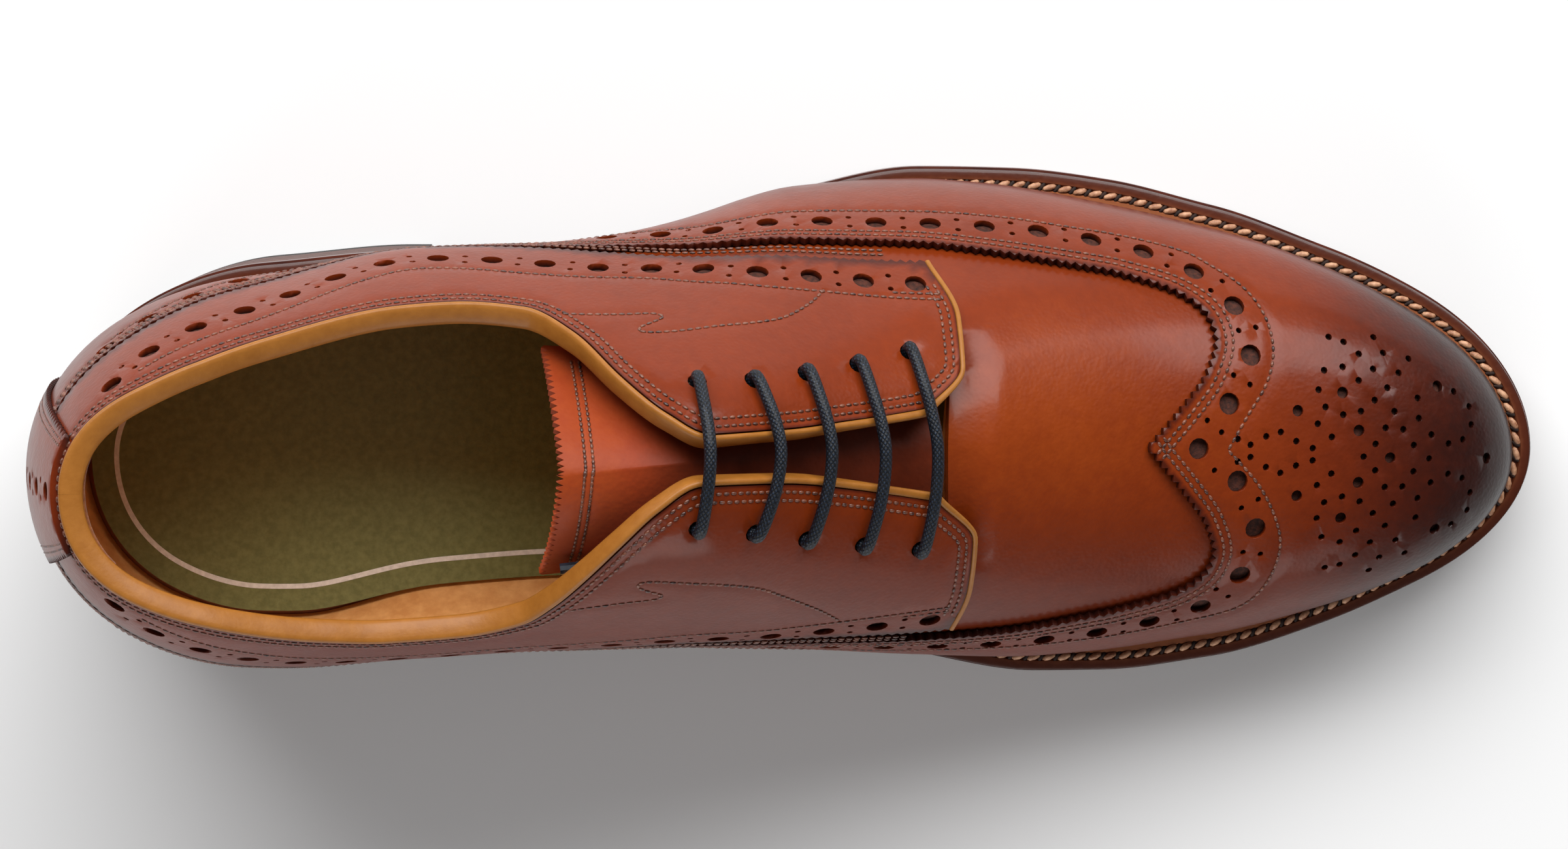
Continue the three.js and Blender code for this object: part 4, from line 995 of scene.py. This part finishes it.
for side, word in sides:
    top, front, low = quarterEdges(side)
    zigzag = pinked(low, *pinking)
    outline = np.vstack([evened(np.vstack([top, front]), 1.6), zigzag[1:]])
    sign = 1 if side > 0 else -1
    rim = np.vstack([top, front[1:]])
    rows = [evened(shifted(low, -sign * d)[8:-4], 1.0) for d in edgeRows]
    rows += [evened(shifted(rim, sign * d)[:-6], 1.0) for d in rimRows]
    rows.append(drawn(quarterSeam[side], side))
    rows.append(shifted(rows[-1][-11:], sign * 1.4))  # the seam is doubled at the front corner
    swan = drawn(swanNeck[side], side)
    holes = brogueRow(drawn(quarterHoleRow[side], side)) + laceHoles(side, 1.75)
    dents = [(line, 0.2, 0.7) for line in rows] + [(swan, 0.16, 0.7)]
    quarter = cutSheet("quarter_leather_" + word, outline, overTop, overLow, holes=holes, dents=dents)
    finishPiece(quarter, finishes["calf"], stands=["quarter_" + word])
    # a dark sheet under the quarter's holes: painted shade seen through them
    under = np.vstack([evened(shifted(rim, sign * 2.0), 5), evened(shifted(low, -sign * 1.6), 5)[1:]])
    holeShadeSheet = cutSheet("quarter_hole_shade_sheet_" + word, under, *holeShadeLevels,
                       holes=laceHoles(side, 1.9, 8), spacing=5, bevel=0)
    finishPiece(holeShadeSheet, finishes["holeShadeSheet"])
    sewn("quarter_stitches_" + word, seamStitches(rows + [swan], stitch, overTop - stitchSunk),
         "thread")
print("quarters cut")

# vamp, sunk a little at the throat where the tongue is sewn in
vampCut = {
    "inner": [(0, 100), (0.25, 145), (0.42, 170), (0.5, 178), (0.6, 181), (1, 181)],
    "innerT": [(0, 0.33), (0.25, 0.5), (0.42, 0.62), (0.5, 0.67), (0.6, 0.73), (0.8, 0.87), (1, 1)],
    "outer": [(0, 98), (0.25, 158), (0.42, 196), (0.55, 222), (0.7, 240), (0.82, 243), (1, 233)],
    "outerT": [(0, 0.12), (0.25, 0.29), (0.42, 0.37), (0.55, 0.42), (0.7, 0.55), (0.82, 0.74), (1, 1)],
    "throat": 181, "dip": 3.4, "dipEnd": 8, "dipRamp": 7, "dipHalf": 0.34, "dipSide": 0.1,
}


def dip(run, t, lead=0.0):
    x = stationOf(run)
    end = vampCut["throat"] + vampCut["dipEnd"] + lead
    lengthwise = np.clip((end - x) / vampCut["dipRamp"], 0, 1)
    half = vampCut["dipHalf"] + lead / 150
    crosswise = np.clip((half - np.abs(t - 1)) / vampCut["dipSide"], 0, 1)
    return vampCut["dip"] * lengthwise ** 2 * (3 - 2 * lengthwise) * crosswise


def vampSurface(height):
    def surface(u, v):
        w = np.where(u <= 0.5, u * 2, 2 - u * 2)
        outerRun, innerRun = runOf(along(vampCut["outer"], w)), runOf(along(vampCut["inner"], w))
        outerT, innerT = along(vampCut["outerT"], w), along(vampCut["innerT"], w)
        run, t = outerRun + (innerRun - outerRun) * v, outerT + (innerT - outerT) * v
        t = np.where(u <= 0.5, t, 2 - t)
        return upper(run, t, height - dip(run, t))
    return surface


vamp = layered("vamp_leather", 160, 36, vampSurface(layers["base"][1]), vampSurface(layers["base"][0]))
smooth(vamp, 50)
finishPiece(vamp, finishes["calf"], stands=["vamp"])


# linings and heel grip
liningCut = {
    "back": [(0, 150), (0.45, 152), (0.6, 165), (0.7, 180), (0.75, 182), (1, 182)],
    "dipShare": 1.45, "dipLead": 9,
    "puffBack": 246, "puffRamp": 18, "puffRoom": 1.3,
    "quarterGap": 2.4, "quarterEnd": 172, "quarterShare": 0.88, "toplineGap": 0.012,
}


def toeRoom(run):
    ahead = stationOf(np.minimum(run, runTotal)) - liningCut["puffBack"]
    return liningCut["puffRoom"] * np.clip(ahead / liningCut["puffRamp"], 0, 1)


def liningBack(t):
    return along(liningCut["back"], np.where(t > 1, 2 - t, t))


def vampLiningSurface(height):
    def surface(u, v):
        t = 2 * u
        start = runOf(liningBack(t))
        run = start + (runTotal - start) * v
        sunk = liningCut["dipShare"] * dip(run, t, liningCut["dipLead"])
        return upper(run, t, height - sunk - toeRoom(run))
    return surface


lining = layered("vamp_lining_leather", 70, 40, vampLiningSurface(layers["lining"][1]),
                 vampLiningSurface(layers["lining"][0]))
smooth(lining, 50)
finishPiece(lining, finishes["lining"], stands=["vamp_lining"])


def quarterLiningSurface(side, height):
    def surface(u, v):
        front = liningBack(v * liningCut["quarterShare"]) - liningCut["quarterGap"]
        front = np.minimum(front, liningCut["quarterEnd"])
        end = runOf(front)
        run = seamHalf + (end - seamHalf) * u
        t = v * (along(topline[side], stationOf(run)) - liningCut["toplineGap"])
        return upper(run, onSide(side, t), height)
    return surface


for side, word in sides:
    piece = layered("quarter_lining_leather_" + word, 80, 36,
                    quarterLiningSurface(side, layers["lining"][1]),
                    quarterLiningSurface(side, layers["lining"][0]))
    smooth(piece, 50)
    finishPiece(piece, finishes["lining"], stands=["quarter_lining_" + word])


gripCut = {"half": 26, "low": 0.24, "high": 0.57}


def gripSurface(height):
    tall = gripCut["high"] - gripCut["low"]
    return lambda u, v: upper(gripCut["half"] * (2 * u - 1), gripCut["low"] + tall * v, height)


grip = layered("heel_grip_suede", 30, 16, gripSurface(layers["grip"][1]), gripSurface(layers["grip"][0]))
softEdges(grip, 0.3)
smooth(grip, 50)
finishPiece(grip, finishes["suede"], stands=["heel_grip"])
print("linings laid")

# back strap, pinked down both sides, with one column of holes
strap = {"half": 15.5, "flare": 1.5, "from": 0.02, "to": 0.585, "pitch": 7.4}


def strapHalf(v):
    return strap["half"] + strap["flare"] * (1 - v) ** 2


shareV = np.linspace(0, 1, 40)
strapHeight = (strap["from"] + (strap["to"] - strap["from"]) * shareV) * 80
strapRight = pinked(np.stack([strapHalf(shareV), strapHeight], 1), 1.9, 0.9, onSeam)
strapLeft = pinked(np.stack([-strapHalf(shareV), strapHeight], 1), 1.9, 0.9, onSeam)
strapOutline = np.vstack([strapRight, strapLeft[::-1]])
strapColumn = np.stack([np.zeros(30), np.linspace(strapHeight[0] + 4, strapHeight[-1] - 4, 30)], 1)
strapSpec = {"pitch": 9.2, "big": 1.7, "small": 0.6, "pairHalf": 1.6}
strapSeams = []
for way in (1, -1):
    for inset in (1.8, 3.1):
        half = way * (strapHalf(shareV) - inset)
        strapSeams.append(np.stack([half, strapHeight], 1)[1:-1])
backstay = cutSheet("back_strap", strapOutline, layers["backstay"][1], layers["backstay"][0], onSeam,
                    holes=brogueRow(strapColumn, onSeam, strapSpec),
                    dents=[(line, 0.18, 0.55) for line in strapSeams], spacing=1.9)
finishPiece(backstay, finishes["calf"], stands=["backstay"])
sewn("back_strap_stitches", seamStitches(strapSeams, fineStitch, layers["backstay"][1] - 0.08, onSeam),
     "thread")

# rolled binding round the topline, facings and front corners
# shares are of the path's length, from the back seam to the foot of the facing
binding = {"from": 0.06, "width": 1.55, "frontWidth": 1.1, "proud": 0.25, "power": 2.8, "sides": 14,
           "count": 300, "start": 0.05, "risesAt": 0.72, "riseShare": 0.07, "narrowsAt": 0.83,
           "narrowShare": 0.05}


def bindingRings(side):
    top, front = quarterEdges(side)[:2]
    top = np.vstack([[binding["start"], top[0, 1]], top])
    path = evened(np.vstack([top, front[1:]]), 1, count=binding["count"])
    share = np.linspace(0, 1, len(path))
    rings = []
    run, t = unflat(path)
    middle = upper(run, t, 0.0)
    ahead = np.gradient(middle, axis=0)
    normal = outward(run, t)
    out = unit(np.cross(ahead, normal) * side)
    lift = np.clip((share - binding["risesAt"]) / binding["riseShare"], 0, 1)
    low = layers["lining"][0] + (overLow - layers["lining"][0]) * lift
    high = overTop + binding["proud"]
    narrow = np.clip((share - binding["narrowsAt"]) / binding["narrowShare"], 0, 1)
    width = binding["width"] + (binding["frontWidth"] - binding["width"]) * narrow
    angle = np.arange(binding["sides"]) / binding["sides"] * 2 * math.pi
    power = 2 / binding["power"]
    cosine, sine = np.cos(angle), np.sin(angle)
    a = np.sign(cosine) * np.abs(cosine) ** power
    b = np.sign(sine) * np.abs(sine) ** power
    for k in range(binding["sides"]):
        reach = binding["from"] + width * (0.5 + 0.5 * a[k])
        level = (high + low) / 2 + (high - low) / 2 * b[k]
        rings.append(upper(run, t, level) + out * reach[:, None])
    return np.stack(rings, axis=1)


for side, word in sides:
    piece = swept("rolled_binding_" + word, bindingRings(side), closed=False)
    smooth(piece, 60)
    finishPiece(piece, finishes["binding"], stands=["topline_binding_" + word])
print("binding rolled")

# tongue
tongue = {"back": 102, "front": 179.6, "hollow": 5, "frontRound": 4.5, "stitchInsets": (4.6, 6.1),
          "ramp": 8.77, "sewnTop": -3.4, "sewnUnder": -4.7, "sewnLining": (-6.3, -7.3),
          "lightTone": 0.56, "shadowDrop": 0.42, "shadowFrom": 114, "shadowTo": 134,
          "out": [(100, 0.54), (115, 0.5), (130, 0.42), (160, 0.33), (180, 0.27)],
          "in": [(100, 0.47), (115, 0.44), (130, 0.39), (160, 0.32), (180, 0.27)]}


def tongueOutline(margin):
    across = np.linspace(-1, 1, 60)
    front = tongue["front"] - tongue["frontRound"] * across ** 2 - margin
    back = tongue["back"] + tongue["hollow"] * (1 - across ** 2) + margin

    def at(x, share):
        half = np.where(share < 0, along(tongue["out"], x), along(tongue["in"], x))
        return flat(runOf(x), 1 + share * (half - margin * 0.01))
    lines = {"back": at(back, across), "front": at(front, across)}
    for way, key in ((1, "medial"), (-1, "lateral")):
        k = -1 if way > 0 else 0
        x = np.linspace(back[k], front[k], 60)
        lines[key] = at(x, np.full(60, float(way)))
    return lines


def tongueHeight(frontHeight, height):
    def level(points):
        share = np.clip((tongue["front"] - stationOf(points[:, 0])) / tongue["ramp"], 0, 1)
        return frontHeight + (height - frontHeight) * share
    return level


def tongueRing(lines, backEdge):
    sidesAndFront = [evened(lines["medial"], 2)[1:], evened(lines["front"], 2)[::-1][1:],
                     evened(lines["lateral"], 2)[::-1][1:-1]]
    return np.vstack([backEdge] + sidesAndFront)


lines = tongueOutline(0)
tongueTopLevel = tongueHeight(tongue["sewnTop"], layers["tongue"][1])
tongueSeams = [evened(shifted(lines["back"], d), 1.0)[6:-6] for d in tongue["stitchInsets"]]
piece = cutSheet("tongue_leather", tongueRing(lines, pinked(lines["back"], 1.95, 1.3)), tongueTopLevel,
                 tongueHeight(tongue["sewnUnder"], layers["tongue"][0]),
                 dents=[(line, 0.2, 0.7) for line in tongueSeams], spacing=2.2)
# painted shadow: the tongue darker towards its front, where the facings shade it in the throat
station = vertexPlaces(piece)[:, 0] * 1000 - heelBack * 1000
throatShadow = smoothStep(station, tongue["shadowFrom"], tongue["shadowTo"])
paint(piece, "tone", tongue["lightTone"] - tongue["shadowDrop"] * throatShadow)
finishPiece(piece, finishes["tongue"], "tongue", ["tongue"])
sewn("tongue_stitches", seamStitches(tongueSeams, stitch, lambda p: tongueTopLevel(p) - stitchSunk),
     "thread", "tongue")
lines = tongueOutline(2)
liningTop, liningUnder = tongue["sewnLining"]
piece = cutSheet("tongue_backing", tongueRing(lines, evened(lines["back"], 2)),
                 tongueHeight(liningTop, layers["tongueLining"][1]),
                 tongueHeight(liningUnder, layers["tongueLining"][0]), spacing=3)
finishPiece(piece, finishes["lining"], "tongue", ["tongue_lining"])
print("tongue sewn")


# bottom: sole outline, welt, outsole and heel
def soleLoop(u):
    fold = np.mod(u, 1)
    outer = fold <= 0.5
    way = np.where(outer, fold * 2, 2 - fold * 2)
    station = stationOf(way * runTotal)
    x = (station - form["back"]) / (form["tip"] - form["back"]) * bottom["length"]
    middle = along(bottom["middle"], x)
    half = np.where(outer, along(bottom["out"], x) - middle, -along(bottom["in"], x) - middle)
    ends = (rounded(x, *bottom["heelRound"])
            * rounded(bottom["length"] - x, *bottom["toeRound"]))
    return np.stack([x, middle + half * ends], axis=-1)


def featherLoop(u):
    run = np.mod(u, 1) * 2 * runTotal
    return formPoint(run, np.zeros_like(run))[..., :2]


def insetLoop(loop, distance):
    def moved(u):
        u = np.asarray(u, float)
        way = unit(loop(u + 0.002) - loop(u - 0.002))
        shift = np.stack([way[..., 1], -way[..., 0]], axis=-1)
        reach = distance(u) if callable(distance) else distance
        return loop(u) + shift * np.asarray(reach, float).reshape(-1, 1)
    return moved


def evenLoop(loop, count):
    u = np.linspace(0, 1, 4001)
    length = lengthAlong(loop(u))
    return np.interp(np.linspace(0, length[-1], count, endpoint=False), length, u)


def weltTop(x):
    return feather(x) - bottom["gap"]


def weltLow(x):
    return weltTop(x) - bottom["weltThickness"]


def soleTop(x):
    return weltLow(x) - bottom["gap"]


def soleLow(x):
    return soleTop(x) - bottom["outsoleThickness"]


def plate(name, loop, columns, rows, top, under, reach=1.0, bow=0.0):
    # a flat piece filling a loop, ruled across from side to side
    def surface(height):
        def place(u, v):
            a, b = loop(u * reach / 2), loop(1 - u * reach / 2)
            bend = bow * u ** 4 * (1 - (2 * v - 1) ** 2)
            x = a[:, 0] + (b[:, 0] - a[:, 0]) * v - bend
            y = a[:, 1] + (b[:, 1] - a[:, 1]) * v
            return np.stack([x, y, height(x)], axis=1)
        return place
    return layered(name, columns, rows, surface(top), surface(under))


def sectionRing(name, count, section):
    # section is a list of (loop, height function), carried round the shoe
    u = evenLoop(soleLoop, count)
    rings = []
    for loop, height in section:
        p = loop(u)
        rings.append(np.concatenate([p, height(p[:, 0])[:, None]], axis=1))
    return swept(name, np.stack(rings, axis=1))


welt = {"seamInset": 3.3, "seamLength": 760, "count": 360}
# the section: loop, inset, depth under the top, and tone, tan inside to inked outside
weltProfile = [
    (featherLoop, 8, bottom["weltThickness"], 0.9), (featherLoop, 8, 0, 0.9), (soleLoop, 6.2, 0, 1.0),
    (soleLoop, welt["seamInset"] + 0.9, 0, 0.85), (soleLoop, welt["seamInset"] + 0.45, 0.55, 0.4),
    (soleLoop, welt["seamInset"] - 0.45, 0.55, 0.35), (soleLoop, welt["seamInset"] - 0.9, 0, 0.5),
    (soleLoop, 1.1, 0, 0.3), (soleLoop, 0.6, 0.25, 0.2), (soleLoop, 0.45, 0.8, 0.12),
    (soleLoop, 0.45, bottom["weltThickness"], 0.12),
]
weltSection = [(insetLoop(loop, inset), lambda x, d=depth: weltTop(x) - d)
               for loop, inset, depth, _ in weltProfile]
weltPiece = sectionRing("welt_strip", welt["count"], weltSection)
paint(weltPiece, "tone", np.tile([row[-1] for row in weltProfile], welt["count"]))
smooth(weltPiece, 35)
finishPiece(weltPiece, finishes["welt"], stands=["welt"])
weltStitch = {"pitch": 3.6, "length": 3.1, "width": 1.5, "height": 1.1, "slant": 0.4}


def weltSeam(stitchSpec, offset, height):
    count = int(round(welt["seamLength"] / stitchSpec["pitch"]))
    loop = insetLoop(soleLoop, welt["seamInset"])
    u = evenLoop(loop, count) + offset / count
    p = loop(u)
    way = unit(loop(u + 0.001) - loop(u - 0.001))
    slope = weltTop(p[:, 0] + 0.5) - weltTop(p[:, 0] - 0.5)
    ahead = unit(np.stack([way[:, 0], way[:, 1], slope * way[:, 0]], 1))
    side = np.stack([-way[:, 1], way[:, 0], np.zeros(count)], 1)
    places = np.concatenate([p, (weltTop(p[:, 0]) + height)[:, None]], 1)
    return places, stitchAxes(ahead, side, np.cross(ahead, side), stitchSpec)


sewn("welt_stitches", weltSeam(weltStitch, 0, -0.12), "weltThread")
prickSpec = {"pitch": 3.6, "length": 2.3, "width": 0.95, "height": 0.6, "slant": 1.0}
sewn("welt_pricks", weltSeam(prickSpec, 0.5, -0.16), "prick")

outsole = plate("outsole_leather", soleLoop, 200, 24, soleTop, soleLow)
softEdges(outsole, 1.1, 4, 50)
smooth(outsole, 50)
finishPiece(outsole, finishes["edge"], stands=["outsole"])
print("bottom built")

# heel: lifts of stacked leather on a rubber top piece
heel = {"breast": 74, "bow": 3.5, "topPiece": 6, "lifts": 3, "height": 25, "seatGap": 0.1}
breastStation = form["back"] + heel["breast"] / bottom["length"] * (form["tip"] - form["back"])
heelReach = float(runOf(breastStation)) / runTotal
liftStep = (heel["height"] - heel["topPiece"]) / heel["lifts"] - 1
gap = bottom["gap"]
topPiece = plate("heel_top_rubber", soleLoop, 90, 24, lambda x: np.full_like(x, heel["topPiece"] - gap),
                 lambda x: np.zeros_like(x), heelReach, heel["bow"])
softEdges(topPiece, 0.5, 3, 50)
smooth(topPiece, 50)
finishPiece(topPiece, finishes["rubber"], stands=["heel_top_piece"])
for k in range(heel["lifts"]):
    lowLevel = heel["topPiece"] + k * liftStep
    highLevel = lowLevel + liftStep - gap * 0.3
    top = lambda x, h=highLevel: np.full_like(x, h)
    if k == heel["lifts"] - 1:
        top = lambda x: soleLow(x) - heel["seatGap"]
    lift = plate(f"heel_lift_leather_{k + 1}", soleLoop, 90, 20, top,
                 lambda x, h=lowLevel: np.full_like(x, h), heelReach, heel["bow"])
    softEdges(lift, 0.25, 2, 50)
    smooth(lift, 50)
    finishPiece(lift, finishes["heel"], stands=[f"heel_lift_{k + 1}"])
print("heel stacked")

# sock with its foil line
insoleTop = 2.6
sock = {"low": insoleTop + gap, "thickness": 1.1, "inset": 2.3, "lineInset": 4.5, "lineWidth": 1.0,
        "lineEnd": 0.2, "linePoints": 260}


def sockLoop(u):
    run = np.mod(u, 1) * 2 * runTotal
    outer = run <= runTotal
    own = np.where(outer, run, 2 * runTotal - run)
    x = stationOf(own)
    power = np.where(outer, along(form["roundOut"], x), along(form["roundIn"], x))
    full = along(form["ridgeRise"], x) * rounded(form["tip"] - x, *form["profileRound"])
    level = sock["low"] + sock["thickness"] / 2
    share = np.minimum(0.6, level / np.maximum(full, level))
    t = np.arcsin(share ** (power / 2)) / quarterTurn
    return upper(own, np.where(outer, t, 2 - t), layers["lining"][0])[..., :2]


def sockTop(x):
    return feather(x) + sock["low"] + sock["thickness"]


sockPiece = plate("sock_leather", insetLoop(sockLoop, sock["inset"]), 110, 30, sockTop,
                  lambda x: feather(x) + sock["low"])
smooth(sockPiece, 50)
finishPiece(sockPiece, finishes["sock"], stands=["sock"])
lineU = np.linspace(1 - sock["lineEnd"], 1 + sock["lineEnd"], sock["linePoints"])
edgesOfLine = [insetLoop(sockLoop, sock["inset"] + sock["lineInset"] + d)(np.mod(lineU, 1))
               for d in (0, sock["lineWidth"])]


def foilSurface(lift):
    share = np.linspace(0, 1, sock["linePoints"])

    def surface(u, v):
        a, b = (np.stack([np.interp(u, share, line[:, k]) for k in (0, 1)], 1) for line in edgesOfLine)
        p = a + (b - a) * v[:, None]
        return np.concatenate([p, (sockTop(p[:, 0]) + lift)[:, None]], 1)
    return surface


foil = layered("sock_foil_line", 200, 2, foilSurface(0.09), foilSurface(-0.05))
smooth(foil, 50)
finishPiece(foil, finishes["foil"])

# lace: one waxed round cord through the five pairs, its ends inside the collar
lace = {"diameter": 2.4, "over": 3.55, "under": -4.65, "bow": (1.6, 3.9, 3.8, 3.6, 3.2), "points": 6,
        "sink": 0.6, "underLift": 0.3, "sides": 14}


def laceKnots():
    knots = []

    def spot(station, t, offset):
        knots.append(upper(float(runOf(station)), t, offset))
    for station, t in ((93, 0.35), (100, 0.38), (107, 0.43), (114, 0.5), (121, 0.58), (127, 0.665)):
        spot(station, t, lace["under"] - lace["sink"])
    for k, (out, medial) in enumerate(lacePairs):
        way = 1 if k % 2 == 0 else -1
        start, end = (out, medial) if way > 0 else (medial, out)
        a, b = onSide(way, start[1]), onSide(-way, end[1])
        spot(start[0], a, lace["under"] + lace["underLift"])
        spot(start[0], a, -0.5)
        for i in range(lace["points"] + 1):
            share = i / lace["points"]
            arch = math.sin(math.pi * share)
            rise = lace["over"] - (0.4 if i in (0, lace["points"]) else 0)
            spot(start[0] + (end[0] - start[0]) * share + lace["bow"][k] * arch, a + (b - a) * share, rise)
        spot(end[0], b, -0.5)
        spot(end[0], b, lace["under"] + lace["underLift"])
        if k < len(lacePairs) - 1:
            nextHole = lacePairs[k + 1][1 if way > 0 else 0]
            spot((end[0] + nextHole[0]) / 2, onSide(-way, (end[1] + nextHole[1]) / 2), lace["under"])
    for station, t in ((168, 0.71), (160, 0.685), (150, 0.665), (139, 0.655), (130, 0.65), (121, 0.635)):
        spot(station, 2 - t, lace["under"] - lace["sink"])
    return np.array(knots)


def laceTube(knots):
    path = np.vstack([splined(knots, 6), knots[-1:]])
    ahead = unit(np.gradient(path, axis=0))
    side = np.cross(ahead[0], [0, 0, 1.0])
    rings = []
    angle = np.arange(lace["sides"]) / lace["sides"] * 2 * math.pi
    for k in range(len(path)):
        side = side - ahead[k] * (side @ ahead[k])
        side /= np.linalg.norm(side)
        up = np.cross(ahead[k], side)
        rings.append(path[k] + lace["diameter"] / 2 * (np.cos(angle)[:, None] * side
                                                       + np.sin(angle)[:, None] * up))
    return np.stack(rings), lengthAlong(path)


def braided(name):
    # a round braid by the cord's own UV: turns round it by millimetres along it
    material, tree, principled = newMaterial(name, 0.5, Coat_Weight=0.1, Specular_IOR_Level=0.3)
    uv = newNode(tree, "UVMap", uv_map="braid").outputs["UV"]
    split = newNode(tree, "SeparateXYZ", {0: uv})
    round8 = math2(tree, "MULTIPLY", split.outputs["X"], 8 * math.pi)
    lengthwise = math2(tree, "MULTIPLY", split.outputs["Y"], 2 * math.pi / 2.1)
    crossing = [math2(tree, "ABSOLUTE", math2(tree, "SINE", math2(tree, way, round8, lengthwise), 0), 0)
                for way in ("ADD", "SUBTRACT")]
    relief = math2(tree, "MULTIPLY", *crossing)
    flecks = noise(tree, 1500, 2, 0.7)
    # colour from the flecks and from the braid's relief: darker in the braid's grooves as painted shade
    flecksAndGrooveShade = math2(tree, "MULTIPLY_ADD", flecks, 0.55)
    tree.links.new(math2(tree, "MULTIPLY", relief, 0.45), flecksAndGrooveShade.node.inputs[2])
    tree.links.new(ramp(tree, flecksAndGrooveShade, [(0.25, srgb(6, 8, 12)), (0.6, srgb(12, 20, 32)),
                                      (0.9, srgb(56, 72, 94))]), principled.inputs["Base Color"])
    bumped(tree, principled, relief, 0.00012, 0.9)
    return material


rings, length = laceTube(laceKnots())
lacePiece = swept("waxed_lace", rings, closed=False)
uvLayer = lacePiece.data.uv_layers.new(name="braid")
sidesCount = lace["sides"]
for polygon in lacePiece.data.polygons:
    around = [v % sidesCount for v in polygon.vertices]
    wraps = max(around) - min(around) > sidesCount / 2
    for loopIndex, vertex, k in zip(polygon.loop_indices, polygon.vertices, around):
        turn = (k + sidesCount if wraps and k < sidesCount / 2 else k) / sidesCount
        uvLayer.data[loopIndex].uv = (turn, length[vertex // sidesCount])
smooth(lacePiece, 60)
finishPiece(lacePiece, braided("braided_lace"), stands=["lace"])
print("lace threaded")

# the pieces kept from the frame take their own finish
kept = {"heel_counter": "bareLeather", "toe_puff": "bareLeather", "facing_stay_lateral": "tape",
        "facing_stay_medial": "tape", "insole": "bareLeather", "insole_rib": "tape",
        "cork_filler": "cork", "shank": "steel", "aglet_start": "aglet", "aglet_finish": "aglet"}
kept.update({f"heel_nail_{k}": "brass" for k in range(1, 6)})
for node, finish in kept.items():
    dress(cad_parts[node], finishes[finish])

# floor, light and camera
deselect()
bpy.ops.mesh.primitive_plane_add(size=6)
floor = bpy.context.object
floor.name = "floor"
floorMaterial, _, floorShader = newMaterial("pale_floor", 0.9)
floorShader.inputs["Base Color"].default_value = (0.9, 0.9, 0.9, 1)
dress(floor, floorMaterial)


def areaLight(name, place, target, size, power, colour=(1, 1, 1)):
    data = bpy.data.lights.new(name, "AREA")
    data.shape = "RECTANGLE"
    data.size, data.size_y = size
    data.energy = power
    data.color = colour
    light = bpy.data.objects.new(name, data)
    bpy.context.scene.collection.objects.link(light)
    light.location = place
    light.rotation_euler = (Vector(target) - Vector(place)).to_track_quat("-Z", "Y").to_euler()
    return light


areaLight("key", (0.02, 1.05, 0.95), (0.02, 0, 0.03), (2.2, 0.75), 38)
areaLight("fill", (-0.2, -1.2, 0.42), (0, 0, 0.03), (1.8, 0.5), 9)
world = bpy.data.worlds.new("studio")
bpy.context.scene.world = world
world.use_nodes = True
world.node_tree.nodes["Background"].inputs["Color"].default_value = (1, 1, 1, 1)
world.node_tree.nodes["Background"].inputs["Strength"].default_value = 0.13
bpy.context.scene.view_settings.view_transform = "Standard"

view = {"target": (-0.00248, -0.00145, 0), "distance": 0.9, "tilt": 5.5, "lens": 98.55}
cameraData = bpy.data.cameras.new("camera")
cameraData.lens = view["lens"]
cameraData.sensor_width = 36
camera = bpy.data.objects.new("camera", cameraData)
bpy.context.scene.collection.objects.link(camera)
tilt = math.radians(view["tilt"])
camera.location = (Vector(view["target"])
                   + view["distance"] * Vector((0, math.sin(tilt), math.cos(tilt))))
way = Vector(view["target"]) - camera.location
back = -way.normalized()
right = Vector((1, 0, 0))
up = back.cross(right)
camera.rotation_euler = Matrix((right, up, back)).transposed().to_euler()
bpy.context.scene.camera = camera
